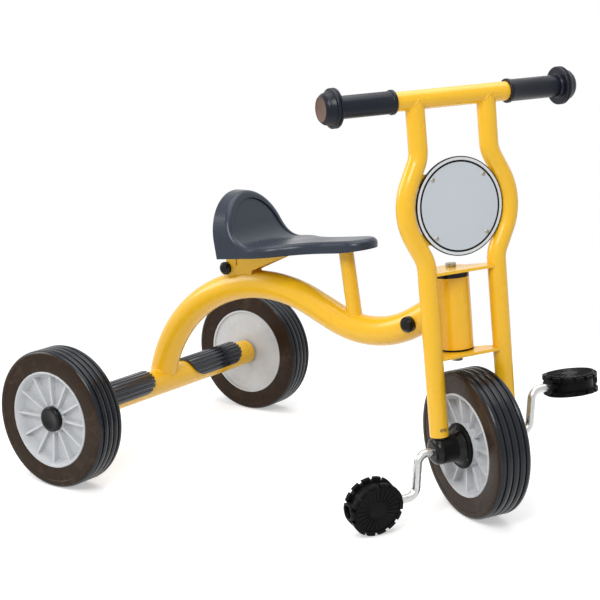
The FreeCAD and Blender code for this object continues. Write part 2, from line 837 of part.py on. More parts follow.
def build_bracket(clearance_bar):
    """A pressed channel bracket: a top plate, and two cheeks with a bolt ear behind, on the main tube."""
    body = new_body("seat_bracket_blank")
    cheek = new_sketch(body, "bracket_cheek", "XZ_Plane")
    low, ear = S.hump_top - S.main_radius / 2, S.bracket_ear_radius
    bolt_x, bolt_z = S.bracket_bolt_forward, S.bracket_bolt_height
    draw_chain(cheek, [
        (bolt_x + ear, low), (S.bracket_web_front, low), (S.bracket_web_front, S.bracket_web_top),
        (S.bracket_front, S.bracket_front_top - S.bracket_tip), (S.bracket_front, S.bracket_front_top),
        (S.bracket_back, S.bracket_back_top), (bolt_x, bolt_z + ear), (bolt_x - ear, bolt_z, ear, 1),
        (bolt_x, bolt_z - ear, ear, 1)], True)
    pad(body, cheek, 2 * S.bracket_half_width, both_ways=True)
    slot = new_sketch(body, "bracket_slot", "XZ_Plane")
    draw_box(slot, S.bracket_slot - S.bracket_slot_width / 2, S.bracket_slot + S.bracket_slot_width / 2,
             S.bracket_back_top - S.bracket_slot_depth, S.bracket_front_top)
    pocket(body, slot, 2 * S.bracket_half_width, both_ways=True)
    channel = new_sketch(body, "bracket_channel", "XZ_Plane")
    spare = 2 * ear
    draw_chain(channel, [
        (S.bracket_back - spare, low - spare), (S.bracket_front + spare, low - spare),
        (S.bracket_front + spare, S.bracket_front_top - S.bracket_plate),
        (S.bracket_front, S.bracket_front_top - S.bracket_plate),
        (S.bracket_back, S.bracket_back_top - S.bracket_plate),
        (S.bracket_back - spare, S.bracket_back_top - S.bracket_plate)], True)
    pocket(body, channel, 2 * (S.bracket_half_width - S.bracket_plate), both_ways=True)
    hole = rod_along_y("bracket_bolt_hole", S.cap_bolt_radius + S.bore_clearance,
                       S.bracket_bolt_forward, S.bracket_bolt_height, 2 * S.bracket_half_width)
    keep(cut("seat_bracket", body, [clearance_bar, hole]), FRAME)

    reach = S.bracket_half_width + S.bracket_cap_height / 2
    keep(rod_along_y("bracket_bolt", S.cap_bolt_radius, S.bracket_bolt_forward, S.bracket_bolt_height, reach),
         FRAME)
    foot = S.bracket_half_width + S.fitted_gap
    top = foot + S.bracket_cap_height
    bore = S.cap_bolt_radius + S.bore_clearance
    edge = S.bracket_cap_height / 2
    caps = [cap_body(f"bracket_cap_{side_name(side)}", side, foot, top, S.bracket_cap_radius, edge, bore,
                     reach + S.fitted_gap, S.bracket_bolt_forward, S.bracket_bolt_height)
            for side in (RIGHT, LEFT)]
    keep(fuse("bracket_caps", caps), FRAME)


def cap_body(label, side, foot, top, radius, edge, bore, pocket_end, x, z):
    """A plastic cap with a bevelled edge, bored to take the end of its bolt."""
    body = turned(label, [
        (-foot, bore), (-foot, radius), (edge - top, radius), (-top, radius - edge),
        (-top, 0), (-pocket_end, 0), (-pocket_end, bore)])
    body.Placement = Placement(Vector(x.number, 0, z.number), wheel_turn(side))
    return body


def build_frame_bolt(clearance_bar):
    reach = S.frame_cap_reach - S.cap_bolt_radius
    forward, height = frame_bolt_spot()
    bolt = rod_along_y("frame_bolt", S.cap_bolt_radius, forward, height, reach)
    keep(bolt, FRAME)
    foot = S.frame_cap_reach - S.frame_cap_depth
    bore = S.cap_bolt_radius + S.bore_clearance
    caps = [cap_body(f"frame_cap_{side_name(side)}", side, foot, S.frame_cap_reach, S.frame_cap_radius,
                     S.cap_bolt_radius, bore, reach + S.fitted_gap, forward, height)
            for side in (RIGHT, LEFT)]
    keep(cut("frame_bolt_caps", fuse("frame_caps_blank", caps), [clearance_bar]), FRAME)


# Seat shell: the part common to a side, a plan and a front outline, rounded, and hollowed by the same three

def seat_line(forward):
    """Height of the pan's top line at a distance ahead of the rear axle."""
    return S.seat_nose_height - (S.seat_nose_tip - forward) * tangent(S.seat_pan_rise)


def seat_bend(behind, below, radius):
    """Where a tangent arc joins the pan's line to the back's, with both lines moved into the shell."""
    pan_slope, back_slope = tangent(S.seat_pan_rise), tangent(S.seat_back_lean)
    back_x = S.seat_back_top - behind
    level = seat_line(back_x) - below
    corner_z = (level + S.seat_top * back_slope * pan_slope) / (1 + back_slope * pan_slope)
    corner_x = back_x + (S.seat_top - corner_z) * back_slope
    reach = radius * tangent((90 - S.seat_back_lean + S.seat_pan_rise) / 2)
    foot = (corner_x + reach * cosine(S.seat_pan_rise), corner_z + reach * sine(S.seat_pan_rise))
    head = (corner_x - reach * sine(S.seat_back_lean), corner_z + reach * cosine(S.seat_back_lean))
    return foot, head


def seat_side(label):
    """Side outline of the shell's outside."""
    body = new_body(label)
    sketch = new_sketch(body, label + "_outline", "XZ_Plane")
    foot, head = seat_bend(0, 0, S.seat_pan_curve)
    draw_chain(sketch, [
        (S.seat_rear_bottom, S.seat_rear_bottom_height), (S.seat_keel_forward, S.seat_keel_height),
        (S.seat_nose_tip, S.seat_nose_bottom), (S.seat_nose_tip, S.seat_nose_height),
        foot, (*head, S.seat_pan_curve, -1), (S.seat_back_top, S.seat_top),
        (S.seat_rear_top, S.seat_top)], True)
    pad(body, sketch, 4 * S.seat_half_width, both_ways=True)
    return body


def seat_hollow(label):
    """Side outline of the hollow under the shell, open below and behind."""
    body = new_body(label)
    sketch = new_sketch(body, label + "_outline", "XZ_Plane")
    wall, spare = S.seat_wall, 5 * S.seat_wall
    behind = wall + S.seat_recess_depth
    foot, head = seat_bend(behind, wall, S.seat_pan_curve)
    draw_chain(sketch, [
        (S.seat_rear_top - spare, S.seat_rear_bottom_height - spare),
        (S.seat_nose_tip - wall, S.seat_rear_bottom_height - spare),
        (S.seat_nose_tip - wall, seat_line(S.seat_nose_tip - wall) - wall),
        foot, (*head, S.seat_pan_curve, -1),
        (S.seat_back_top - behind + wall * tangent(S.seat_back_lean), S.seat_top - wall),
        (S.seat_rear_top - spare, S.seat_top - wall)], True)
    pad(body, sketch, 4 * S.seat_half_width, both_ways=True)
    return body


def seat_recess(label):
    """The shallow recess that leaves a raised border round the front of the back."""
    body = new_body(label)
    sketch = new_sketch(body, label + "_outline", "XZ_Plane")
    foot, head = seat_bend(S.seat_recess_depth, 0, S.seat_pan_curve)
    top = S.seat_back_top - S.seat_recess_depth
    draw_chain(sketch, [
        foot, (*head, S.seat_pan_curve, -1), (top, S.seat_top),
        (foot[0], S.seat_top)], True)
    pad(body, sketch, 4 * S.seat_half_width, both_ways=True)
    return common(label + "_space", [body, seat_front(label + "_front", S.seat_recess_border)])


def seat_plan(label, inset):
    """Plan outline: a round nose that widens by two tangent arcs each side to the hips."""
    body = new_body(label)
    sketch = new_sketch(body, label + "_outline", "XY_Plane", S.seat_rear_bottom_height - S.seat_half_width)
    nose = S.seat_nose_half_width - inset
    wide = S.seat_half_width - inset
    tip = S.seat_nose_tip - S.seat_nose_half_width
    rear = S.seat_rear_top - S.seat_half_width
    turn, neck, hip = S.seat_neck_turn, S.seat_neck_radius + inset, S.seat_hip_radius - inset
    neck_x, neck_y = S.seat_neck_start - neck * sine(turn), nose + neck * (1 - cosine(turn))
    hip_y = wide - hip * (1 - cosine(turn))
    hip_x = neck_x - (hip_y - neck_y) / tangent(turn)
    hip_start = hip_x - hip * sine(turn)
    draw_chain(sketch, [
        (rear, -wide), (hip_start, -wide), (hip_x, -hip_y, hip, 1), (neck_x, -neck_y),
        (S.seat_neck_start, -nose, neck, -1), (tip, -nose),
        (tip + nose, 0, nose, 1), (tip, nose, nose, 1), (S.seat_neck_start, nose),
        (neck_x, neck_y, neck, -1), (hip_x, hip_y), (hip_start, wide, hip, 1), (rear, wide)], True)
    pad(body, sketch, 3 * S.seat_half_width)
    return body


def seat_front(label, inset):
    """Front outline: upright sides that turn by two tangent arcs each side into a round top."""
    body = new_body(label)
    sketch = new_sketch(body, label + "_outline", "YZ_Plane")
    wide, side, top = S.seat_half_width - inset, S.seat_arch_radius - inset, S.seat_top - inset
    low, start = S.seat_rear_bottom_height - S.seat_half_width, S.seat_arch_start
    aside, crown = wide - side, top - side
    centre = (crown + start - aside * aside / (crown - start)) / 2
    radius = top - centre
    share = radius / (radius - side)
    turn_y, turn_z = aside * share, centre + (start - centre) * share
    draw_chain(sketch, [
        (-wide, low), (wide, low), (wide, start), (turn_y, turn_z, side, 1), (0, top, radius, 1),
        (-turn_y, turn_z, radius, 1), (-wide, start, side, 1)], True)
    pad(body, sketch, 2 * S.seat_nose_tip, both_ways=True)
    return body


def rounded(label, base, radius, chosen):
    """The base with the edges that the test picks rounded to one radius."""
    DOC.recompute()
    fillet = DOC.addObject("Part::Fillet", label)
    fillet.Label = label
    fillet.Base = base
    numbers = [number for number, edge in enumerate(base.Shape.Edges, start=1) if chosen(edge)]
    fillet.Edges = [(number, radius.number, radius.number) for number in numbers]
    return fillet


def round_top_edge(edge):
    """Whether an edge runs round the top of the seat, between its upper surfaces and its sides."""
    points = edge.discretize(5)
    on_top = all(point.z > seat_line(as_size(point.x)).number - 0.5 for point in points)
    in_front = all(point.x > S.seat_back_top.number - 0.5 for point in points)
    crosses = points[0].y * points[-1].y < 0
    return on_top and in_front and not crosses


def seat_ribs():
    """Two ribs under the pan, which rest on the bracket and run on to the nose."""
    body = new_body("seat_ribs")
    side = new_sketch(body, "seat_ribs_side", "XZ_Plane")
    slope = (S.bracket_front_top - S.bracket_back_top) / (S.bracket_front - S.bracket_back)
    back_low = S.bracket_back_top + slope * (S.seat_rib_back - S.bracket_back) + S.fitted_gap
    draw_chain(side, [
        (S.seat_rib_back, back_low), (S.bracket_front, S.bracket_front_top + S.fitted_gap),
        (S.seat_rib_front, S.seat_nose_bottom), (S.seat_rib_front, S.seat_top),
        (S.seat_rib_back, S.seat_top)], True)
    outer = S.seat_rib_half_spacing + S.seat_rib_thickness / 2
    pad(body, side, 2 * outer, both_ways=True)
    between = new_sketch(body, "seat_ribs_between", "XY_Plane")
    inner = S.seat_rib_half_spacing - S.seat_rib_thickness / 2
    draw_box(between, 0, S.seat_nose_tip, -inner, inner)
    pocket(body, between, 2 * S.seat_top, both_ways=True)
    return body


def seat_socket(label, radius, spare):
    """A round bar on the seat post's line, from a depth below its top end to a little above it."""
    body = new_body(label)
    ring = new_sketch(body, label + "_ring", "XY_Plane", post_length() - S.seat_socket_depth - spare)
    draw_circle(ring, 0, 0, radius)
    pad(body, ring, S.seat_socket_depth + spare + S.running_gap)
    body.Placement = post_place()[1]
    return body


def build_seat():
    outside = common("seat_outside", [
        seat_side("seat_side"), seat_plan("seat_plan", 0), seat_front("seat_front", 0)])
    outside.Refine = True
    soft = rounded("seat_rounded", outside, S.seat_edge_radius, round_top_edge)
    inside = common("seat_inside", [
        seat_hollow("seat_side_inner"), seat_plan("seat_plan_inner", S.seat_wall),
        seat_front("seat_front_inner", S.seat_wall)])
    bore = S.post_radius + S.fitted_gap
    socket = seat_socket("seat_socket", bore + S.seat_socket_wall, 0)
    hollow = cut("seat_space", inside, [seat_ribs(), socket])
    post_space = seat_socket("post_space", bore, S.seat_socket_depth)
    keep(cut("seat", soft, [seat_recess("seat_recess"), hollow, post_space]), FRAME)


# Fork

def leg_points(side, start, end):
    """Points of a fork leg's centre line, bowed out round the number plate."""
    turn = S.bulge_turn
    corner, bow = S.bulge_corner_radius, S.bulge_radius
    y0 = side * S.leg_half_spacing
    corner_out = corner * (1 - cosine(turn))
    bow_out = bow * (1 - cosine(turn))
    run_out = S.bulge_reach - corner_out - bow_out
    run_up = run_out / tangent(turn)
    bow_up = bow * sine(turn)
    corner_up = corner * sine(turn)
    middle = S.plate_height
    low, high = middle - bow_up - run_up, middle + bow_up + run_up
    return [
        (y0, start), (y0, low - corner_up),
        (y0 + side * corner_out, low, corner, -side),
        (y0 + side * (corner_out + run_out), middle - bow_up),
        (y0 + side * (corner_out + run_out), middle + bow_up, bow, side),
        (y0 + side * corner_out, high),
        (y0, high + corner_up, corner, -side), (y0, end)]


def leg_sweep(label, side, outer, wall=None):
    body = new_body(label)
    path = new_sketch(body, label + "_path", "YZ_Plane")
    draw_chain(path, leg_points(side, S.leg_bottom, S.bar_height - S.leg_wall), False)
    section = new_sketch(body, label + "_round", "XY_Plane", S.leg_bottom)
    draw_circle(section, 0, side * S.leg_half_spacing, outer)
    if wall is not None:
        draw_circle(section, 0, side * S.leg_half_spacing, outer - wall)
    sweep(body, section, path)
    return body


def bar_space(label):
    return rod_along_y(label, S.bar_radius + S.fitted_gap, 0, S.bar_height, S.bar_half_length)


def build_fork():
    for side in (RIGHT, LEFT):
        name = side_name(side)
        leg = leg_sweep(f"fork_leg_{name}_stock", side, S.leg_radius, S.leg_wall)
        keep(cut(f"fork_leg_{name}", leg, [bar_space(f"bar_space_{name}")]), FORK)
    bar = new_body("handlebar")
    ring = new_sketch(bar, "handlebar_ring", "XZ_Plane")
    draw_circle(ring, 0, S.bar_height, S.bar_radius)
    draw_circle(ring, 0, S.bar_height, S.bar_radius - S.bar_wall)
    pad(bar, ring, 2 * S.bar_half_length, both_ways=True)
    keep(bar, FORK)


def build_grips():
    """Grips with a ring at the inner end, and a grooved guard and a dished knob at the outer end."""
    bore = S.bar_radius + S.fitted_gap
    edge, groove = S.grip_flange_edge, S.grip_flange_groove
    guard_end = S.grip_flange_start + S.grip_flange_width
    middle = S.grip_flange_start + S.grip_flange_width / 2
    for side in (RIGHT, LEFT):
        grip = turned(f"grip_{side_name(side)}", [
            (-S.grip_start, bore), (-S.grip_start, S.grip_ring_radius),
            (-S.grip_start - S.grip_ring_width, S.grip_ring_radius),
            (-S.grip_start - S.grip_ring_width, S.grip_radius), (-S.grip_flange_start, S.grip_radius),
            (-S.grip_flange_start, S.grip_flange_radius - edge),
            (-S.grip_flange_start - edge, S.grip_flange_radius), (groove - middle, S.grip_flange_radius),
            (-middle, S.grip_flange_radius - groove), (-middle - groove, S.grip_flange_radius),
            (edge - guard_end, S.grip_flange_radius), (-guard_end, S.grip_flange_radius - edge),
            (-guard_end, S.grip_dome_radius), (-S.grip_knob_start, S.grip_knob_radius),
            (-S.grip_end, S.grip_end_radius), (-S.grip_end, S.grip_dish_radius + S.grip_dish_depth),
            (S.grip_dish_depth - S.grip_end, S.grip_dish_radius), (S.grip_dish_depth - S.grip_end, 0),
            (-S.bar_half_length - S.fitted_gap, 0), (-S.bar_half_length - S.fitted_gap, bore)])
        keep(grip, FORK.multiply(Placement(Vector(0, 0, S.bar_height.number), wheel_turn(side))))


def cross_plate(label, low):
    """A flat plate between the fork legs, drawn back to a round nose over the king pin."""
    body = new_body(label)
    outline = new_sketch(body, label + "_outline", "XY_Plane", low)
    side, back = S.leg_half_spacing, -S.fork_offset
    nose = S.cross_nose_radius
    draw_chain(outline, [
        (S.cross_front, -side), (S.cross_front, side), (-S.cross_back, side),
        (back, nose), (back - nose, 0, nose, 1), (back, -nose, nose, 1), (-S.cross_back, -side)], True)
    pad(body, outline, S.cross_plate)
    holes = new_sketch(body, label + "_holes", "XY_Plane", low)
    draw_circle(holes, back, 0, S.pin_radius + S.bore_clearance)
    for sign in (RIGHT, LEFT):
        draw_circle(holes, 0, sign * side, S.leg_radius + S.fitted_gap)
    pocket(body, holes, S.cross_plate, reverse=True)
    return body


def build_cross_plates():
    lower_top = S.head_bottom - S.fitted_gap - S.lower_flange - S.running_gap
    upper_low = S.head_top + S.fitted_gap + S.upper_flange + S.running_gap
    lower_low, upper_top = lower_top - S.cross_plate, upper_low + S.cross_plate
    keep(cross_plate("cross_plate_lower", lower_low), FORK)
    keep(cross_plate("cross_plate_upper", upper_low), FORK)
    gap = S.fitted_gap
    pin = turned_upright("king_pin", [
        (0, lower_low - gap - S.pin_nut_height), (S.pin_nut_radius, lower_low - gap - S.pin_nut_height),
        (S.pin_nut_radius, lower_low - gap), (S.pin_radius, lower_low - gap),
        (S.pin_radius, upper_top + gap), (S.pin_head_radius, upper_top + gap),
        (S.pin_head_radius, upper_top + gap + S.pin_head_height), (0, upper_top + gap + S.pin_head_height)])
    keep(pin, HEAD)


def build_number_plate():
    plate = new_body("number_plate")
    disc = new_sketch(plate, "number_plate_disc", "YZ_Plane", S.plate_front - S.plate_thickness)
    draw_circle(disc, 0, S.plate_height, S.plate_radius)
    pad(plate, disc, S.plate_thickness)
    keep(plate, FORK)

    lugs = []
    back = S.plate_front - S.plate_thickness - S.fitted_gap - S.lug_thickness
    for side in (RIGHT, LEFT):
        for level, word in ((-1, "low"), (1, "high")):
            label = f"plate_lug_{side_name(side)}_{word}"
            body = new_body(label)
            face = new_sketch(body, label + "_face", "YZ_Plane", back)
            height = S.plate_height + level * S.plate_screw_offset
            ends = sorted((side * S.lug_inner, side * (S.leg_half_spacing + S.leg_radius)),
                          key=lambda size: size.number)
            draw_box(face, ends[0], ends[1], height - S.lug_half_width, height + S.lug_half_width)
            pad(body, face, S.lug_thickness)
            lugs.append(body)
    spaces = [leg_sweep(f"leg_space_{side_name(side)}", side, S.leg_radius + S.fitted_gap)
              for side in (RIGHT, LEFT)]
    keep(cut("plate_lugs", fuse("plate_lug_set", lugs), spaces), FORK)


def bearing(label):
    """A bearing block: a round-ended barrel, flared at the wheel, with a stem up into the leg."""
    inner, outer = S.hub_flange_outer + S.running_gap, S.bearing_outer
    radius, flare, edge = S.bearing_radius, S.bearing_flare, S.bearing_edge
    bore = S.crank_radius + S.bore_clearance
    body = turned(label, [
        (-outer, bore), (-outer, radius - edge), (edge - outer, radius, edge, -1),
        (-inner - flare, radius), (-inner, radius + flare), (-inner, bore)])
    foot = radius / 2
    stem = new_sketch(body, label + "_stem", "XY_Plane", foot)
    draw_circle(stem, 0, -S.leg_half_spacing, S.leg_radius - S.leg_wall - S.fitted_gap)
    pad(body, stem, S.bearing_stem - foot)
    return body


def build_bearings():
    for side in (RIGHT, LEFT):
        keep(bearing(f"bearing_{side_name(side)}"), FORK.multiply(Placement(Vector(), wheel_turn(side))))


# Front wheel, crank and pedals

def build_front_wheel():
    bore = S.crank_radius + S.bore_clearance
    keep(tyre("front_tyre"), FORK)
    keep(rim("front_rim", bore, S.front_boss_radius, S.front_boss_height), FORK)
    outer, radius, edge = S.hub_flange_outer, S.hub_flange_radius, S.hub_flange_edge
    for side, seat in ((RIGHT, S.front_boss_height), (LEFT, S.rim_back_height)):
        flange = turned(f"hub_flange_{side_name(side)}", [
            (-seat - S.fitted_gap, bore), (-seat - S.fitted_gap, radius), (edge - outer, radius),
            (-outer, radius - edge), (-outer, bore)])
        keep(flange, FORK.multiply(Placement(Vector(), wheel_turn(side))))


def crank_points():
    """Points of the crank's centre line, from the right pedal to the left one."""
    bend, splay, throw = S.crank_bend_radius, S.crank_splay, S.crank_throw
    run = bend * tangent((90 - splay) / 2)
    start, out = S.crank_arm_start, S.crank_arm_start + throw * tangent(splay)
    across, along = run * sine(splay), run * cosine(splay)
    left = [
        (start - run, 0), (start + across, along, bend, 1),
        (out - across, throw - along), (out + run, throw, bend, -1), (S.crank_end, throw)]
    right = [
        (-S.crank_end, -throw), (-out - run, -throw), (across - out, along - throw, bend, 1),
        (-start - across, -along), (run - start, 0, bend, -1)]
    return right + left


def build_crank():
    body = new_body("crank")
    path = new_sketch(body, "crank_path", "YZ_Plane")
    draw_chain(path, crank_points(), False)
    section = new_sketch(body, "crank_round", "XZ_Plane", S.crank_end)
    draw_circle(section, 0, -S.crank_throw, S.crank_radius)
    sweep(body, section, path)
    keep(body, FORK)


def pedal(label):
    """A round pedal: a spool with notched rims and ridged faces, and a barrel for the end of the crank."""
    top, edge, radius = S.pedal_half_height, S.pedal_rim_edge, S.pedal_radius
    side, inner = top - S.pedal_face_fall, S.pedal_rim_inner
    waist, waist_top = S.pedal_waist_radius, S.pedal_waist_inner
    body = turned_upright(label, [
        (0, -top), (radius - edge, -top), (radius, edge - top), (radius, -inner), (waist, -waist_top),
        (waist, waist_top), (radius, inner), (radius, top - edge), (radius - edge, top), (0, top)])
    slope = new_sketch(body, label + "_slope", "XZ_Plane")
    for face in (-1, 1):
        draw_chain(slope, [
            (-radius, face * side), (0, face * top), (radius, face * side), (radius, face * (top + edge)),
            (-radius, face * (top + edge))], True)
    pocket(body, slope, 4 * radius, both_ways=True)
    notch = new_sketch(body, label + "_notch", "XY_Plane")
    half = S.pedal_notch_width / 2
    draw_box(notch, radius - S.pedal_notch_depth, radius + half, -half, half)
    gap = pocket(body, notch, 4 * top, both_ways=True)
    polar_copies(body, gap, notch, "N_Axis", S.pedal_notch_count)
    barrel = new_sketch(body, label + "_barrel", "XZ_Plane")
    draw_circle(barrel, 0, 0, S.pedal_barrel_radius)
    pad(body, barrel, 2 * S.pedal_barrel_reach, both_ways=True)
    bore = new_sketch(body, label + "_bore", "XZ_Plane")
    draw_circle(bore, 0, 0, S.crank_radius + S.pedal_bore_clearance)
    pocket(body, bore, 4 * radius, both_ways=True)
    space = new_sketch(body, label + "_washer_space", "XZ_Plane", S.pedal_seat_reach)
    draw_circle(space, 0, 0, S.washer_radius + S.running_gap)
    pocket(body, space, radius, reverse=True)
    return body


def build_pedals():
    for side, tip in ((RIGHT, S.right_pedal_tip), (LEFT, S.left_pedal_tip)):
        spot = Vector(0, side * S.pedal_centre.number, side * S.crank_throw.number)
        place = Placement(spot, Rotation(Vector(0, 1, 0), tip.number).multiply(wheel_turn(side)))
        keep(pedal(f"pedal_{side_name(side)}"), FORK.multiply(place))
    inner = S.pedal_centre + S.pedal_seat_reach + S.running_gap
    bore = S.crank_radius + S.bore_clearance
    for side in (RIGHT, LEFT):
        washer = turned(f"pedal_washer_{side_name(side)}", [
            (-inner, bore), (-inner, S.washer_radius), (-inner - S.washer_thickness, S.washer_radius),
            (-inner - S.washer_thickness, bore)])
        spot = Vector(0, 0, side * S.crank_throw.number)
        keep(washer, FORK.multiply(Placement(spot, wheel_turn(side))))


def check_model():
    """Stop if any object failed, or any sub-part is empty or not valid."""
    for item in DOC.Objects:
        if any(word in item.State for word in ("Invalid", "Error")):
            raise RuntimeError(f"{item.Label}: {item.State}")
    for piece in SUB_PARTS:
        if piece.Shape.isNull() or not piece.Shape.isValid() or not piece.Shape.Solids:
            raise RuntimeError(f"{piece.Label}: no valid solid")


def main():
    build_rear_wheels()
    build_axle()
    build_step_pads()
    build_main_tube()
    build_head_tube()
    clearance_bar = main_sweep("main_tube_space", S.main_radius + S.fitted_gap)
    build_seat_post(clearance_bar)
    build_bracket(clearance_bar)
    build_frame_bolt(clearance_bar)
    build_seat()
    build_fork()
    build_grips()
    build_cross_plates()
    build_number_plate()
    build_bearings()
    build_front_wheel()
    build_crank()
    build_pedals()
    DOC.recompute()
    check_model()
    os.makedirs("parts", exist_ok=True)
    for piece in SUB_PARTS:
        piece.Shape.exportStep(f"parts/{piece.Label}.step")
        print(piece.Label, round(piece.Shape.Volume, 1), piece.Shape.BoundBox)


main()
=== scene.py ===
"""Finishes, small fittings and studio of a children's pedal tricycle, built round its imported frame.

Sizes are in millimetres and become metres as a mesh is made. Pieces of the fork are drawn from the front
axle (x ahead, y left, z up the fork), wheels from their own centres, and the tube frame from the floor's
spot below the rear axle.
"""

import json
import logging
import math
from collections.abc import Callable
from dataclasses import dataclass
from enum import Enum

import bmesh
import bpy
from mathutils import Matrix, Vector


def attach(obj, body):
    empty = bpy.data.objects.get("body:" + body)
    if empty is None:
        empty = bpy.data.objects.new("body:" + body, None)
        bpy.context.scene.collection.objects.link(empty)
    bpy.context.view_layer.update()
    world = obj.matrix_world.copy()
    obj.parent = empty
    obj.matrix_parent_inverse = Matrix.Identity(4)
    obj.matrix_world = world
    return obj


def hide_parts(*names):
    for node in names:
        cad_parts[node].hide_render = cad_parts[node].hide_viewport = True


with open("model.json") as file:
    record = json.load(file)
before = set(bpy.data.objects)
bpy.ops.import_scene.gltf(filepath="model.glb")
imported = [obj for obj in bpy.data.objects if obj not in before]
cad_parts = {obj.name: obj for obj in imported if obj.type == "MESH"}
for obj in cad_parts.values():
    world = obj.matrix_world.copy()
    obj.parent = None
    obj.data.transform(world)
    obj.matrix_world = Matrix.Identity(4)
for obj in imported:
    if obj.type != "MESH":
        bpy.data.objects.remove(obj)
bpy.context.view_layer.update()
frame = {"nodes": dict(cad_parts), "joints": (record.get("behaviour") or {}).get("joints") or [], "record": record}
LOG = logging.getLogger("tricycle")

MM = 0.001

Tree = bpy.types.NodeTree
Socket = bpy.types.NodeSocket
Piece = bpy.types.Object
Outline = list[tuple[float, float]]
Steps = tuple[tuple[float, float], ...]
Colour = tuple[float, float, float]


class Side(Enum):
    """A side of the machine, as the rider sees it, with its direction along Y."""

    RIGHT = -1
    LEFT = 1

    @property
    def word(self) -> str:
        """The side's name as it ends a node's name."""
        return self.name.lower()


# Places

def joint(name: str) -> dict:
    """Find a joint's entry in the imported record, with its position in metres and its axis."""
    return next(entry for entry in frame["joints"] if entry["name"] == name)


def fork_place() -> Matrix:
    """Find the fork's own axes.

    Returns:
        A matrix from the fork's metres to the frame's, with its origin on the front axle.
    """
    left = Vector(joint("front_wheel_spin")["axis"]).normalized()
    up = Vector(joint("steering")["axis"]).normalized()
    ahead = left.cross(up)
    place = Matrix((ahead, left, up)).transposed().to_4x4()
    place.translation = Vector(joint("front_wheel_spin")["pos_m"])
    return place


def wheel_place(name: str) -> Matrix:
    """Find the place of a rear wheel's centre, by its joint's name."""
    return Matrix.Translation(Vector(joint(name)["pos_m"]))


def shift(x: float, y: float, z: float) -> Matrix:
    """Find the matrix of a move by millimetres along X, Y and Z."""
    return Matrix.Translation(Vector((x, y, z)) * MM)


def turned_to(side: Side) -> Matrix:
    """Find the turn about Z for a piece that is drawn towards -Y, none on the right and half on the left."""
    return Matrix.Rotation(0 if side is Side.RIGHT else math.pi, 4, "Z")


def slope(degrees: float) -> tuple[Vector, Vector]:
    """Find the direction ahead that rises by some degrees, and the one that stands square above it."""
    turn = math.radians(degrees)
    return Vector((math.cos(turn), 0, math.sin(turn))), Vector((-math.sin(turn), 0, math.cos(turn)))


def skin(across: Vector, radius: float, turn: float) -> Vector:
    """Find the way from a tube's middle to its skin, at a turn from one direction towards +Y."""
    return across * (radius * math.cos(turn)) + Vector((0, radius * math.sin(turn), 0))


FACING_AHEAD = Matrix.Rotation(math.pi / 2, 4, "Z")
RIM_STEPS = 120
BEAD_SIDES = 10
RIPPLE_STEPS = 5
JOIN_GAP = 0.001
SOFT_ANGLE = 32
EDGE_ANGLE = 38


# Meshes

def arc(along: float, radius: float, size: float, start: float, end: float, count: int = 8) -> Outline:
    """Find the points of an arc about a spot, both ends included, with angles in degrees from the axis."""
    angles = [math.radians(start + (end - start) * step / count) for step in range(count + 1)]
    return [(along + size * math.cos(angle), radius + size * math.sin(angle)) for angle in angles]


def moved(steps: Steps, along: float, radius: float) -> Outline:
    """Find the points that lie by the given steps along the axis and away from it."""
    return [(along + step[0], radius + step[1]) for step in steps]


def finished_mesh(name: str, mesh: bmesh.types.BMesh, place: Matrix, sharp: float = EDGE_ANGLE) -> Piece:
    """Turn a drawn mesh into a smooth-shaded object.

    Args:
        name: The object's name.
        mesh: The mesh in millimetres, which is freed.
        place: Where its own axes lie in the frame.
        sharp: The angle in degrees above which an edge stays sharp.

    Returns:
        The object, at the frame's origin with its place in its mesh.
    """
    bmesh.ops.recalc_face_normals(mesh, faces=mesh.faces)
    bmesh.ops.transform(mesh, matrix=place @ Matrix.Scale(MM, 4), verts=mesh.verts)
    data = bpy.data.meshes.new(name)
    mesh.to_mesh(data)
    mesh.free()
    data.shade_smooth()
    data.set_sharp_from_angle(angle=math.radians(sharp))
    made = bpy.data.objects.new(name, data)
    bpy.context.scene.collection.objects.link(made)
    return made


def lathe(name: str, outline: Outline, place: Matrix, closed: bool = False, steps: int = 96,
          sharp: float = EDGE_ANGLE) -> Piece:
    """Turn an outline about the Y axis.

    Args:
        name: The object's name.
        outline: Points (along the axis towards -Y, radius) in millimetres.
        place: Where the piece's own axes lie.
        closed: Whether the last point joins the first, as in a ring.
        steps: How many steps a full turn has.
        sharp: The angle in degrees above which an edge stays sharp.

    Returns:
        The turned object.
    """
    mesh = bmesh.new()
    rings = []
    for along, radius in outline:
        if radius == 0:
            rings.append([mesh.verts.new((0, -along, 0))] * steps)
            continue
        angles = [2 * math.pi * step / steps for step in range(steps)]
        rings.append([mesh.verts.new((radius * math.cos(a), -along, radius * math.sin(a))) for a in angles])
    pairs = list(zip(rings, rings[1:]))
    if closed:
        pairs.append((rings[-1], rings[0]))
    for inner, outer in pairs:
        for step in range(steps):
            after = (step + 1) % steps
            corners = list(dict.fromkeys([inner[step], outer[step], outer[after], inner[after]]))
            if len(corners) > 2:
                mesh.faces.new(corners)
    return finished_mesh(name, mesh, place, sharp)


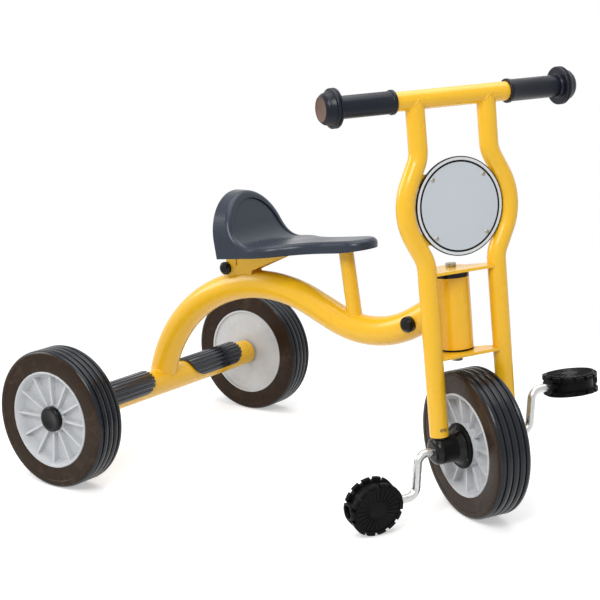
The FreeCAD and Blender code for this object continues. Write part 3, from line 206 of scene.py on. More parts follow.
def bead(name: str, points: list[Vector], radius: float, place: Matrix, ripple: float = 0.12) -> Piece:
    """Run a weld bead round a closed line.

    Args:
        name: The object's name.
        points: The line in millimetres.
        radius: The bead's radius.
        place: Where the line's own axes lie.
        ripple: How much of its radius the bead swells and shrinks by, as a weld does.

    Returns:
        The bead.
    """
    mesh = bmesh.new()
    sides, count = BEAD_SIDES, len(points)
    rings = []
    first = (points[1] - points[-1]).orthogonal()
    for index, point in enumerate(points):
        ahead = (points[(index + 1) % count] - points[index - 1]).normalized()
        first = (first - ahead * first.dot(ahead)).normalized()
        second = ahead.cross(first)
        size = radius * (1 + ripple * math.sin(index * 2 * math.pi / RIPPLE_STEPS))
        rings.append([mesh.verts.new(point + size * (first * math.cos(turn) + second * math.sin(turn)))
                      for turn in (2 * math.pi * side / sides for side in range(sides))])
    for index in range(count):
        inner, outer = rings[index], rings[(index + 1) % count]
        for side in range(sides):
            after = (side + 1) % sides
            mesh.faces.new((inner[side], inner[after], outer[after], outer[side]))
    return finished_mesh(name, mesh, place, sharp=60)


def soften(node: str, width: float, segments: int = 2) -> None:
    """Round the sharp edges of a frame piece a little, as moulding and pressing do.

    Args:
        node: The piece's name.
        width: The round's width in millimetres.
        segments: How many steps the round has.
    """
    piece = frame["nodes"][node]
    weld = piece.modifiers.new("join", "WELD")
    weld.merge_threshold = JOIN_GAP * MM
    round_edge = piece.modifiers.new("round", "BEVEL")
    round_edge.width = width * MM
    round_edge.segments = segments
    round_edge.limit_method = "ANGLE"
    round_edge.angle_limit = math.radians(SOFT_ANGLE)
    round_edge.harden_normals = True


def seat_on(piece: Piece, body: str, slot: str, material: bpy.types.Material, *replaced: str) -> None:
    """Fasten a piece to a body, with its finish, and let it stand for frame pieces.

    Args:
        piece: The piece.
        body: The body that it rides on.
        slot: The record's material slot; not used.
        material: Its finish.
        replaced: The frame pieces that it stands for.
    """
    piece.data.materials.append(material)
    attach(piece, body)
    if replaced:
        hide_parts(*replaced)
    LOG.info("%s rides on %s", piece.name, body)


# Shader nodes

MIX_BASE, MIX_OVER, MIX_RESULT = 6, 7, 2


def worked_out(tree: Tree, operation: str, first: Socket, second: Socket) -> Socket:
    """Work out one value from two.

    Args:
        tree: The tree that gets the node.
        operation: What it does with the values.
        first: The first value's socket.
        second: The second value's socket.

    Returns:
        The result's socket.
    """
    node = tree.nodes.new("ShaderNodeMath")
    node.operation = operation
    tree.links.new(first, node.inputs[0])
    tree.links.new(second, node.inputs[1])
    return node.outputs["Value"]


def stretched(tree: Tree, value: Socket, low: float, high: float) -> bpy.types.Node:
    """Stretch the values between two limits over a range, which is 0 to 1 unless it is set.

    Args:
        tree: The tree that gets the node.
        value: The value's socket.
        low: The value that gives the range's start.
        high: The value that gives its end.

    Returns:
        The node.
    """
    node = tree.nodes.new("ShaderNodeMapRange")
    node.inputs["From Min"].default_value = low
    node.inputs["From Max"].default_value = high
    tree.links.new(value, node.inputs["Value"])
    return node


def mixed_colour(tree: Tree, share: Socket, base: Socket, over: Colour, blend: str = "MIX") -> Socket:
    """Lay a plain colour over a varying one.

    Args:
        tree: The tree that gets the node.
        share: How much of the plain colour shows, as a socket.
        base: The varying colour's socket.
        over: The plain colour.
        blend: How the two are blended.

    Returns:
        The mixed colour's socket.
    """
    node = tree.nodes.new("ShaderNodeMix")
    node.data_type = "RGBA"
    node.blend_type = blend
    node.inputs[MIX_OVER].default_value = (*over, 1)
    tree.links.new(share, node.inputs["Factor"])
    tree.links.new(base, node.inputs[MIX_BASE])
    return node.outputs[MIX_RESULT]


def mixed_shaders(tree: Tree, share: Socket, base: Socket, over: Socket) -> Socket:
    """Lay one shader over another.

    Args:
        tree: The tree that gets the node.
        share: How much of the upper shader shows, as a socket.
        base: The lower shader's socket.
        over: The upper shader's socket.

    Returns:
        The mixed shader's socket.
    """
    node = tree.nodes.new("ShaderNodeMixShader")
    tree.links.new(share, node.inputs["Fac"])
    tree.links.new(base, node.inputs[1])
    tree.links.new(over, node.inputs[2])
    return node.outputs["Shader"]


def noise(tree: Tree, scale: Socket, detail: float, roughness: float = 0.5) -> Socket:
    """Add a noise texture that follows the piece.

    Args:
        tree: The tree that gets it.
        scale: Its scale's socket.
        detail: Its fineness.
        roughness: How strong its fine part is.

    Returns:
        The noise's socket.
    """
    place, texture = tree.nodes.new("ShaderNodeTexCoord"), tree.nodes.new("ShaderNodeTexNoise")
    texture.inputs["Detail"].default_value = detail
    texture.inputs["Roughness"].default_value = roughness
    tree.links.new(place.outputs["Object"], texture.inputs["Vector"])
    tree.links.new(scale, texture.inputs["Scale"])
    return texture.outputs["Fac"]


# Shader node groups, each used by several finishes

DRIFT = (0.55, 0.5, 0.5)
GLOSS_LIMITS = (0.3, 0.7)
SCUFF_LIMITS = (0.52, 0.72)
SCUFF_ROUGHNESS = 0.7


class Effect(Enum):
    """The shared surface effects, by the names of their node groups."""

    GRAIN = "moulded grain"
    GLOSS = "uneven gloss"
    TONE = "drifting tone"
    SCUFF = "light scuffs"


NOISE_DETAIL = {Effect.GRAIN: 3.0, Effect.GLOSS: 5.0, Effect.TONE: 4.0, Effect.SCUFF: 8.0}


def new_group(effect: Effect, inputs: dict[str, float], outputs: list[str],
              colours: tuple[str, ...] = ()) -> tuple[Tree, bpy.types.Node, bpy.types.Node]:
    """Start a shader node group with named sockets.

    Args:
        effect: The effect, which names the group.
        inputs: Names and first values of its number inputs.
        outputs: Names of its outputs.
        colours: Names of the inputs and outputs that carry a colour.

    Returns:
        The group's tree, its input node and its output node.
    """
    tree = bpy.data.node_groups.new(effect.value, "ShaderNodeTree")
    for name in colours:
        if name not in outputs:
            tree.interface.new_socket(name, in_out="INPUT", socket_type="NodeSocketColor")
    for name, value in inputs.items():
        tree.interface.new_socket(name, in_out="INPUT", socket_type="NodeSocketFloat").default_value = value
    for name in outputs:
        kind = "NodeSocketColor" if name in colours else "NodeSocketFloat"
        tree.interface.new_socket(name, in_out="OUTPUT", socket_type=kind)
    return tree, tree.nodes.new("NodeGroupInput"), tree.nodes.new("NodeGroupOutput")


def grain_group() -> Tree:
    """Build the pebbled grain of moulded plastic and rubber.

    Returns:
        A group with Scale in, and Height out.
    """
    tree, source, result = new_group(Effect.GRAIN, {"Scale": 900.0}, ["Height"])
    place, cells = tree.nodes.new("ShaderNodeTexCoord"), tree.nodes.new("ShaderNodeTexVoronoi")
    cells.feature = "SMOOTH_F1"
    tree.links.new(place.outputs["Object"], cells.inputs["Vector"])
    tree.links.new(source.outputs["Scale"], cells.inputs["Scale"])
    fine = noise(tree, source.outputs["Scale"], NOISE_DETAIL[Effect.GRAIN])
    height = worked_out(tree, "ADD", cells.outputs["Distance"], fine)
    tree.links.new(height, result.inputs["Height"])
    return tree


def gloss_group() -> Tree:
    """Build a gloss that varies gently over a surface.

    Returns:
        A group with Scale, Low and High in, and Roughness out.
    """
    tree, source, result = new_group(Effect.GLOSS, {"Scale": 30.0, "Low": 0.2, "High": 0.3}, ["Roughness"])
    cloud = noise(tree, source.outputs["Scale"], NOISE_DETAIL[Effect.GLOSS])
    spread = stretched(tree, cloud, *GLOSS_LIMITS)
    tree.links.new(source.outputs["Low"], spread.inputs["To Min"])
    tree.links.new(source.outputs["High"], spread.inputs["To Max"])
    tree.links.new(spread.outputs["Result"], result.inputs["Roughness"])
    return tree


def tone_group() -> Tree:
    """Build a colour that drifts a little over a surface.

    Returns:
        A group with Colour, Scale and Depth in, and Tone out.
    """
    tree, source, result = new_group(
        Effect.TONE, {"Scale": 12.0, "Depth": 0.06}, ["Tone"], ("Colour", "Tone"))
    cloud = noise(tree, source.outputs["Scale"], NOISE_DETAIL[Effect.TONE])
    share = worked_out(tree, "MULTIPLY", cloud, source.outputs["Depth"])
    tone = mixed_colour(tree, share, source.outputs["Colour"], DRIFT, "MULTIPLY")
    tree.links.new(tone, result.inputs["Tone"])
    return tree


def scuff_group() -> Tree:
    """Build the faint pale marks that rubber and black plastic pick up.

    Returns:
        A group with Scale and Amount in, and Mask out.
    """
    tree, source, result = new_group(Effect.SCUFF, {"Scale": 60.0, "Amount": 0.2}, ["Mask"])
    cloud = noise(tree, source.outputs["Scale"], NOISE_DETAIL[Effect.SCUFF], SCUFF_ROUGHNESS)
    marks = stretched(tree, cloud, *SCUFF_LIMITS)
    mask = worked_out(tree, "MULTIPLY", marks.outputs["Result"], source.outputs["Amount"])
    tree.links.new(mask, result.inputs["Mask"])
    return tree


GROUPS = {Effect.GRAIN: grain_group(), Effect.GLOSS: gloss_group(),
          Effect.TONE: tone_group(), Effect.SCUFF: scuff_group()}


class Surface:
    """A material under construction: one Principled shader and the nodes that feed it."""

    def __init__(self, name: str) -> None:
        """Start the material.

        Args:
            name: The material's name.
        """
        self.material = bpy.data.materials.new(name)
        self.material.use_nodes = True
        self.tree = self.material.node_tree
        self.shader = self.tree.nodes["Principled BSDF"]

    def set(self, **values: float) -> None:
        """Set plain values on the shader's own sockets, with underscores for spaces."""
        for name, value in values.items():
            self.shader.inputs[name.replace("_", " ")].default_value = value

    def effect(self, effect: Effect, **values: float) -> bpy.types.Node:
        """Place a shared group.

        Args:
            effect: Which group.
            values: Its inputs, by name.

        Returns:
            The group's node.
        """
        node = self.tree.nodes.new("ShaderNodeGroup")
        node.node_tree = GROUPS[effect]
        for name, value in values.items():
            node.inputs[name].default_value = value
        return node

    def tone(self, colour: Colour, scale: float, depth: float) -> Socket:
        """Colour the shader with a drifting tone.

        Args:
            colour: The main colour.
            scale: How fine the drift is.
            depth: How strong it is.

        Returns:
            The colour's socket.
        """
        node = self.effect(Effect.TONE, Colour=(*colour, 1), Scale=scale, Depth=depth)
        self.tree.links.new(node.outputs["Tone"], self.shader.inputs["Base Color"])
        return node.outputs["Tone"]

    def gloss(self, low: float, high: float, scale: float) -> None:
        """Give the shader an uneven roughness between two values."""
        node = self.effect(Effect.GLOSS, Low=low, High=high, Scale=scale)
        self.tree.links.new(node.outputs["Roughness"], self.shader.inputs["Roughness"])

    def relief(self, height: Socket, depth: float) -> None:
        """Raise the surface by a height map.

        Args:
            height: The map's socket.
            depth: How far it raises the surface, in millimetres.
        """
        bump = self.tree.nodes.new("ShaderNodeBump")
        bump.inputs["Distance"].default_value = depth * MM
        bump.inputs["Strength"].default_value = 1.0
        self.tree.links.new(height, bump.inputs["Height"])
        self.tree.links.new(bump.outputs["Normal"], self.shader.inputs["Normal"])

    def grain(self, scale: float, depth: float) -> None:
        """Raise the surface by the shared grain."""
        self.relief(self.effect(Effect.GRAIN, Scale=scale).outputs["Height"], depth)

    def scuffs(self, tone: Socket, pale: Colour, scale: float, amount: float) -> None:
        """Lay pale marks over the base colour.

        Args:
            tone: The base colour's socket.
            pale: The marks' colour.
            scale: How fine they are.
            amount: How strong they are.
        """
        mask = self.effect(Effect.SCUFF, Scale=scale, Amount=amount)
        marked = mixed_colour(self.tree, mask.outputs["Mask"], tone, pale)
        self.tree.links.new(marked, self.shader.inputs["Base Color"])


@dataclass(frozen=True)
class Finish:
    """What every finish has: a colour that drifts, an uneven gloss and a fine relief."""

    name: str
    colour: Colour
    rough: tuple[float, float]
    grain_scale: float
    grain_depth: float
    tone_scale: float = 15.0
    tone_depth: float = 0.12
    gloss_scale: float = 25.0

    def start(self) -> tuple[Surface, Socket]:
        """Start the material.

        Returns:
            Its surface, and its colour's socket.
        """
        surface = Surface(self.name)
        tone = surface.tone(self.colour, self.tone_scale, self.tone_depth)
        surface.gloss(*self.rough, self.gloss_scale)
        surface.grain(self.grain_scale, self.grain_depth)
        return surface, tone


@dataclass(frozen=True)
class PowderCoat(Finish):
    """Glossy baked paint on steel tube, with the faint waviness of a sprayed coat."""

    rough: tuple[float, float] = (0.24, 0.34)
    grain_scale: float = 160.0
    grain_depth: float = 0.03
    tone_scale: float = 9.0
    tone_depth: float = 0.06
    gloss_scale: float = 14.0

    def build(self) -> bpy.types.Material:
        """Make the material.

        Returns:
            The material.
        """
        surface, _ = self.start()
        surface.set(Coat_Weight=0.35, Coat_Roughness=0.1, IOR=1.5, Specular_IOR_Level=0.35)
        return surface.material


@dataclass(frozen=True)
class Moulding(Finish):
    """Moulded plastic or rubber with a fine grain, a coat of polish and paler scuffs; on the grip ends the brown
    colour and its pale patches are a painted highlight.
    """

    shine: float = 0.3
    coat: float = 0.0
    scuff: float = 0.0
    scuff_scale: float = 45.0
    worn: Colour = (0.0, 0.0, 0.0)

    def build(self) -> bpy.types.Material:
        """Make the material.

        Returns:
            The material.
        """
        surface, tone = self.start()
        surface.set(Coat_Weight=self.coat, Coat_Roughness=0.1, IOR=1.48, Specular_IOR_Level=self.shine)
        if self.scuff:
            surface.scuffs(tone, self.worn, self.scuff_scale, self.scuff)
        return surface.material


@dataclass(frozen=True)
class PlatedSteel(Finish):
    """Bright plated steel with a fine pebbled grain."""

    rough: tuple[float, float] = (0.18, 0.34)
    grain_scale: float = 700.0
    grain_depth: float = 0.02
    tone_scale: float = 40.0
    tone_depth: float = 0.2
    gloss_scale: float = 80.0

    def build(self) -> bpy.types.Material:
        """Make the material.

        Returns:
            The material.
        """
        surface, _ = self.start()
        surface.set(Metallic=1.0)
        return surface.material


PAINT = PowderCoat("yellow_powder_coat", (0.83, 0.465, 0.012)).build()
STEEL = PlatedSteel("zinc_plated_steel", (0.60, 0.61, 0.60)).build()
DULL_STEEL = PlatedSteel("dull_zinc", (0.40, 0.38, 0.31), (0.3, 0.45)).build()
DARK_STEEL = PlatedSteel("blackened_steel", (0.10, 0.10, 0.10), (0.3, 0.45)).build()
SIDEWALL = Moulding("tyre_sidewall", (0.027, 0.0150, 0.0080), (0.24, 0.36), 1100.0, 0.02, shine=0.13,
                    scuff=0.6, worn=(0.080, 0.044, 0.026)).build()
TREAD = Moulding("tyre_tread", (0.0050, 0.0068, 0.0105), (0.17, 0.28), 800.0, 0.02, shine=0.32,
                 scuff=0.4, worn=(0.018, 0.021, 0.027)).build()
RIM = Moulding("rim_moulding", (0.53, 0.545, 0.565), (0.24, 0.34), 1000.0, 0.02, shine=0.4, coat=0.2,
               scuff=0.5, worn=(0.66, 0.645, 0.61)).build()
BLACK = Moulding("black_plastic", (0.0042, 0.0040, 0.0040), (0.18, 0.28), 1200.0, 0.015, shine=0.18,
                 coat=0.1).build()
MATT = Moulding("matt_black_plastic", (0.0036, 0.0036, 0.0040), (0.36, 0.50), 1200.0, 0.015,
                shine=0.09).build()
GRIP = Moulding("grip_rubber", (0.0058, 0.0078, 0.0155), (0.24, 0.36), 1300.0, 0.02, shine=0.25,
                scuff=0.35, worn=(0.020, 0.018, 0.020)).build()
# The grip ends' brown colour and its paler patches are a painted warm highlight over the black grip rubber.
GRIP_END_PAINTED_HIGHLIGHT = Moulding("worn_grip_end", (0.13, 0.074, 0.052), (0.4, 0.52), 1300.0, 0.03, shine=0.25,
                    scuff=0.7, worn=(0.20, 0.13, 0.10)).build()
PAD = Moulding("step_pad_rubber", (0.0085, 0.0115, 0.0200), (0.14, 0.22), 900.0, 0.015, shine=0.45,
               coat=0.35).build()
SEAT = Moulding("seat_plastic", (0.022, 0.030, 0.046), (0.24, 0.34), 1500.0, 0.01, shine=0.3,
                coat=0.06).build()
PLATE = Moulding("plate_plastic", (0.525, 0.57, 0.61), (0.3, 0.4), 1400.0, 0.015, shine=0.35).build()
MARGIN = Moulding("plate_margin", (0.66, 0.67, 0.68), (0.3, 0.4), 1400.0, 0.015, shine=0.35).build()

NODE_FINISH = {
    "frame_paint": PAINT, "bright_steel": STEEL, "tyre": SIDEWALL, "rim_plastic": RIM,
    "black_plastic": BLACK, "black_rubber": PAD, "seat_plastic": SEAT, "plate_plastic": PLATE,
}
OWN_FINISH = {
    "king_pin": DULL_STEEL, "pedal_right": MATT, "pedal_left": MATT,
    "hub_flange_right": MATT, "hub_flange_left": MATT,
}


def dress_frame() -> None:
    """Give every frame piece its own finish, or else the one of its slot in the record."""
    for entry in frame["record"]["subparts"]:
        piece = frame["nodes"][entry["node"]]
        piece.data.materials.clear()
        piece.data.materials.append(OWN_FINISH.get(entry["node"], NODE_FINISH[entry["material_slot"]]))
        LOG.info("%s dressed", entry["node"])


SCREW_SHAPE = ((0.0, 0.0), (0.0, 1.0), (0.4, 1.0), (0.85, 0.8), (1.0, 0.5), (0.4, 0.42), (0.4, 0.0))
SCREW_STEPS = 24


def screw_head(name: str, place: Matrix, foot: float, radius: float, height: float) -> Piece:
    """Make a low round screw head with a socket, pointing to -Y, with its underside at its foot."""
    outline = [(foot + height * rise, radius * reach) for rise, reach in SCREW_SHAPE]
    return lathe(name, outline, place, steps=SCREW_STEPS)


@dataclass
class Tyre:
    """A solid rubber tyre with round shoulders and grooves between the ribs of its tread."""

    outer: float = 100.0
    bore: float = 70.1
    half_width: float = 23.8
    shoulder: float = 6.5
    bead_round: float = 2.0
    step_radius: float = 90.0
    step_depth: float = 0.7
    groove_places: tuple[float, ...] = (-14.4, -4.8, 4.8, 14.4)
    groove_width: float = 2.8
    groove_depth: float = 2.4
    groove_foot: float = 0.5
    crown: float = 0.8
    tread_share: float = 0.4

    def half_outline(self) -> Outline:
        """Draw one side.

        Returns:
            Its points, from the bore to the start of the tread.
        """
        wall = self.half_width - self.step_depth
        return [
            *arc(wall - self.bead_round, self.bore + self.bead_round, self.bead_round, -90, 0, 4),
            (wall, self.step_radius - self.step_depth), (self.half_width, self.step_radius),
            *arc(self.half_width - self.shoulder, self.outer - self.shoulder, self.shoulder, 0, 90, 10)]

    def tread(self) -> Outline:
        """Draw the crowned ribs and the grooves.

        Returns:
            Their points, from the near shoulder to the far one.
        """
        points = []
        half, floor, edge = self.groove_width / 2, self.outer - self.groove_depth, self.outer - self.crown
        places = sorted(self.groove_places, reverse=True)
        foot = half * self.groove_foot
        for place, after in zip(places, [*places[1:], None]):
            points += [(place + half, edge), (place + foot, floor), (place - foot, floor),
                       (place - half, edge)]
            if after is not None:
                middle, quarter = (place + after) / 2, (place - after) / 4 - half / 2
                side = self.outer - self.crown / 4
                points += [(middle + quarter, side), (middle, self.outer), (middle - quarter, side)]
        return points

    def build(self, node: str, body: str, place: Matrix) -> None:
        """Make the tyre, with the tread's finish on its outer faces.

        Args:
            node: The frame piece that it stands for.
            body: The body that it rides on.
            place: The wheel's centre.
        """
        near = self.half_outline()
        far = [(-along, radius) for along, radius in reversed(near)]
        outline = near + self.tread() + far
        tyre = lathe(node + "_rubber", outline, place, closed=True, steps=RIM_STEPS, sharp=30)
        seat_on(tyre, body, "tyre", SIDEWALL, node)
        tyre.data.materials.append(TREAD)
        limit = (self.outer - self.shoulder * self.tread_share) * MM
        centre, axle = place.translation, place.to_3x3() @ Vector((0, 1, 0))
        for face in tyre.data.polygons:
            arm = face.center - centre
            if (arm - axle * arm.dot(axle)).length > limit:
                face.material_index = 1


@dataclass
class RimLip:
    """The thin bead that rounds a rim's outer edge."""

    radius: float = 68.4
    face: float = 22.9
    bead: float = 0.9

    def build(self, body: str, place: Matrix) -> None:
        """Make the bead on a wheel's body, round the wheel's centre."""
        outline = arc(self.face, self.radius, self.bead, -90, 90, 6)
        seat_on(lathe(f"{body}_lip", outline, place, steps=RIM_STEPS), body, "rim_plastic", RIM)


@dataclass
class RearWheels:
    """The two plain rear wheels, with their lips and axle caps."""

    cap_foot: float = 14.3
    cap_radius: float = 18.3
    cap_height: float = 8.0
    cap_round: float = 2.6
    cap_bore: float = 6.2
    cap_chamfer: float = 0.6
    dish_depth: float = 0.5
    dish_start: float = 0.62
    dish_end: float = 0.56
    cap_steps: int = 72
    rim_round: float = 0.5

    def build(self) -> None:
        """Make both wheels."""
        for side in Side:
            body = f"rear_wheel_{side.word}"
            place = wheel_place(f"{side.word}_wheel_spin") @ turned_to(side)
            Tyre().build(f"rear_tyre_{side.word}", body, place)
            RimLip().build(body, place)
            self.cap(side, place)
            soften(f"rear_rim_{side.word}", self.rim_round)

    def cap(self, side: Side, place: Matrix) -> None:
        """Close the axle with a round-edged cap, dished a little in its middle.

        Args:
            side: The wheel's side.
            place: The wheel's centre.
        """
        top = self.cap_foot + self.cap_height
        edge = arc(top - self.cap_round, self.cap_radius - self.cap_round, self.cap_round, 90, 0, 6)
        outline = [(self.cap_foot, self.cap_bore), (self.cap_foot, self.cap_radius - self.cap_chamfer),
                   (self.cap_foot + self.cap_chamfer, self.cap_radius), *edge,
                   (top, self.cap_radius * self.dish_start),
                   (top - self.dish_depth, self.cap_radius * self.dish_end), (top - self.dish_depth, 0)]
        cap = lathe(f"axle_cap_{side.word}", outline, place, steps=self.cap_steps)
        seat_on(cap, "frame", "black_plastic", BLACK, f"hub_cap_{side.word}")


@dataclass
class FrontWheel:
    """The driven front wheel with its flanges and their screws."""

    screw_circle: float = 26.3
    screw_count: int = 3
    screw_radius: float = 1.7
    screw_height: float = 0.8
    screw_sink: float = 0.2
    flange_face: float = 26.8
    edge_round: float = 0.5

    def build(self) -> None:
        """Make the tyre, the lip and the screws, and round the rim's and the flanges' edges."""
        place = fork_place()
        Tyre().build("front_tyre", "front_wheel", place)
        RimLip().build("front_wheel", place)
        soften("front_rim", self.edge_round)
        for side in Side:
            soften(f"hub_flange_{side.word}", self.edge_round)
            for index in range(self.screw_count):
                spin = Matrix.Rotation(2 * math.pi * index / self.screw_count, 4, "Y")
                spot = place @ turned_to(side) @ spin @ shift(0, 0, self.screw_circle)
                head = screw_head(f"flange_screw_{side.word}_{index}", spot,
                                  self.flange_face - self.screw_sink, self.screw_radius, self.screw_height)
                seat_on(head, "front_wheel", "bright_steel", DARK_STEEL)


@dataclass
class Pedals:
    """A raised edge and radial ribs on both faces of each pedal."""

    tips: tuple[tuple[Side, float], ...] = ((Side.RIGHT, 104.0), (Side.LEFT, -2.0))
    radius: float = 37.0
    half_height: float = 14.0
    face_fall: float = 2.0
    edge_inner: float = 30.4
    edge_outer: float = 32.6
    rise: float = 1.1
    root: float = 0.3
    bevel: float = 0.35
    rib_inner: float = 12.0
    rib_outer: float = 30.6
    rib_count: int = 24
    rib_width: float = 1.6
    rib_share: float = 0.8
    edge_steps: int = 96

    def build(self) -> None:
        """Make the relief of both pedals."""
        for side, tip in self.tips:
            name = f"{side.word}_pedal"
            place = fork_place()
            place.translation = Vector(joint(name + "_spin")["pos_m"])
            mesh = bmesh.new()
            for face in (-1, 1):
                self.edge(mesh, face)
                for index in range(self.rib_count):
                    self.rib(mesh, face, 2 * math.pi * (index + 0.5) / self.rib_count)
            tipped = place @ Matrix.Rotation(math.radians(tip), 4, "Y")
            relief = finished_mesh(f"pedal_relief_{side.word}", mesh, tipped, sharp=30)
            seat_on(relief, name, "black_plastic", MATT)

    def spot(self, mesh: bmesh.types.BMesh, face: int, x: float, y: float,
             rise: float) -> bmesh.types.BMVert:
        """Add a vertex that stands off a face, which falls away on both sides of the rod along Y."""
        height = self.half_height - abs(x) / self.radius * self.face_fall + rise
        return mesh.verts.new((x, y, face * height))

    def edge(self, mesh: bmesh.types.BMesh, face: int) -> None:
        """Run a raised ring inside the notched rim.

        Args:
            mesh: The mesh that gets it.
            face: 1 for the upper face and -1 for the lower one.
        """
        section = ((self.edge_inner, -self.root), (self.edge_inner + self.bevel, self.rise),
                   (self.edge_outer - self.bevel, self.rise), (self.edge_outer, -self.root))
        turns = [2 * math.pi * step / self.edge_steps for step in range(self.edge_steps)]
        rings = [[self.spot(mesh, face, radius * math.cos(turn), radius * math.sin(turn), rise)
                  for radius, rise in section] for turn in turns]
        for here, there in zip(rings, [*rings[1:], rings[0]]):
            for corner in range(len(section)):
                after = (corner + 1) % len(section)
                mesh.faces.new((here[corner], there[corner], there[after], here[after]))

    def rib(self, mesh: bmesh.types.BMesh, face: int, turn: float) -> None:
        """Stand one radial rib on a face.

        Args:
            mesh: The mesh that gets it.
            face: 1 for the upper face and -1 for the lower one.
            turn: The rib's angle about the pedal's middle.
        """
        along, across = (math.cos(turn), math.sin(turn)), (-math.sin(turn), math.cos(turn))
        levels = []
        for inset, rise in ((0.0, -self.root), (self.bevel, self.rise * self.rib_share)):
            half, inner, outer = self.rib_width / 2 - inset, self.rib_inner + inset, self.rib_outer
            corners = ((inner, -half), (outer, -half), (outer, half), (inner, half))
            levels.append([self.spot(mesh, face, reach * along[0] + offset * across[0],
                                     reach * along[1] + offset * across[1], rise)
                           for reach, offset in corners])
        low, high = levels
        mesh.faces.new(low)
        mesh.faces.new(high)
        for corner in range(4):
            after = (corner + 1) % 4
            mesh.faces.new((low[corner], low[after], high[after], high[corner]))


@dataclass
class Grips:
    """The handlebar's two rubber grips, each with a collar, a grooved guard and a dished end."""

    height: float = 455.8
    bore: float = 12.6
    start: float = 83.0
    collar_end: float = 88.0
    collar_radius: float = 15.8
    radius: float = 14.4
    guard_start: float = 163.0
    guard_end: float = 171.0
    guard_radius: float = 25.0
    guard_round: float = 1.5
    guard_groove: float = 1.3
    dome_radius: float = 21.5
    knob_start: float = 179.5
    knob_radius: float = 19.5
    end: float = 183.5
    end_radius: float = 16.5
    end_round: float = 1.2
    dish_radius: float = 13.0
    dish: float = 2.0
    face_rise: float = 0.15
    collar_round: float = 0.8
    fillet: float = 2.0
    flare: float = 0.2
    dome_foot: Steps = ((0.0, 0.6), (0.6, -0.1))
    knob_foot: Steps = ((-0.8, 0.2), (0.6, -0.5))
    dish_foot: Steps = ((0.5, 0.4), (0.0, -1.0))

    def outline(self) -> Outline:
        """Draw a grip.

        Returns:
            Its points, from its bore at the collar to the middle of its end.
        """
        lip, turn, groove, rounding = self.collar_round, self.guard_round, self.guard_groove, self.end_round
        middle = (self.guard_start + self.guard_end) / 2
        return [
            (self.start, self.bore), (self.start, self.collar_radius - lip),
            (self.start + lip, self.collar_radius), (self.collar_end - lip, self.collar_radius),
            (self.collar_end, self.collar_radius - lip), (self.collar_end + lip, self.radius),
            (self.guard_start - self.fillet, self.radius), (self.guard_start, self.radius + self.fillet),
            (self.guard_start, self.guard_radius - turn),
            *arc(self.guard_start + turn, self.guard_radius - turn, turn, 180, 90, 6),
            (middle - groove, self.guard_radius), (middle - groove / 3, self.guard_radius - groove),
            (middle + groove / 3, self.guard_radius - groove), (middle + groove, self.guard_radius),
            *arc(self.guard_end - turn, self.guard_radius - turn, turn, 90, 0, 6),
            *moved(self.dome_foot, self.guard_end, self.dome_radius),
            *moved(self.knob_foot, self.knob_start, self.knob_radius),
            *arc(self.end - rounding, self.end_radius + self.flare - rounding, rounding, 40, 0, 4),
            *self.end_dish()]

    def end_dish(self) -> Outline:
        """Draw the dished end.

        Returns:
            Its points, from its rim to the middle.
        """
        floor = self.end - self.dish
        return [(self.end, self.dish_radius + self.dish),
                *moved(self.dish_foot, floor, self.dish_radius), (floor, 0.0)]

    def end_face(self) -> Outline:
        """Draw the thin skin over the end that carries the painted warm highlight.

        Returns:
            Its points, closed behind its back.
        """
        rise = self.face_rise
        front = [(along + rise, radius) for along, radius in
                 [(self.end, self.end_radius - self.end_round), *self.end_dish()]]
        return [(along - 2 * rise, radius) for along, radius in reversed(front)] + front

    def build(self) -> None:
        """Make both grips."""
        for side in Side:
            place = fork_place() @ shift(0, 0, self.height) @ turned_to(side)
            grip = lathe(f"handle_grip_{side.word}", self.outline(), place)
            seat_on(grip, "steering", "black_rubber", GRIP, f"grip_{side.word}")
            # A thin skin over each grip's end carries the painted warm highlight.
            face = lathe(f"grip_end_{side.word}", self.end_face(), place)
            seat_on(face, "steering", "black_rubber", GRIP_END_PAINTED_HIGHLIGHT)


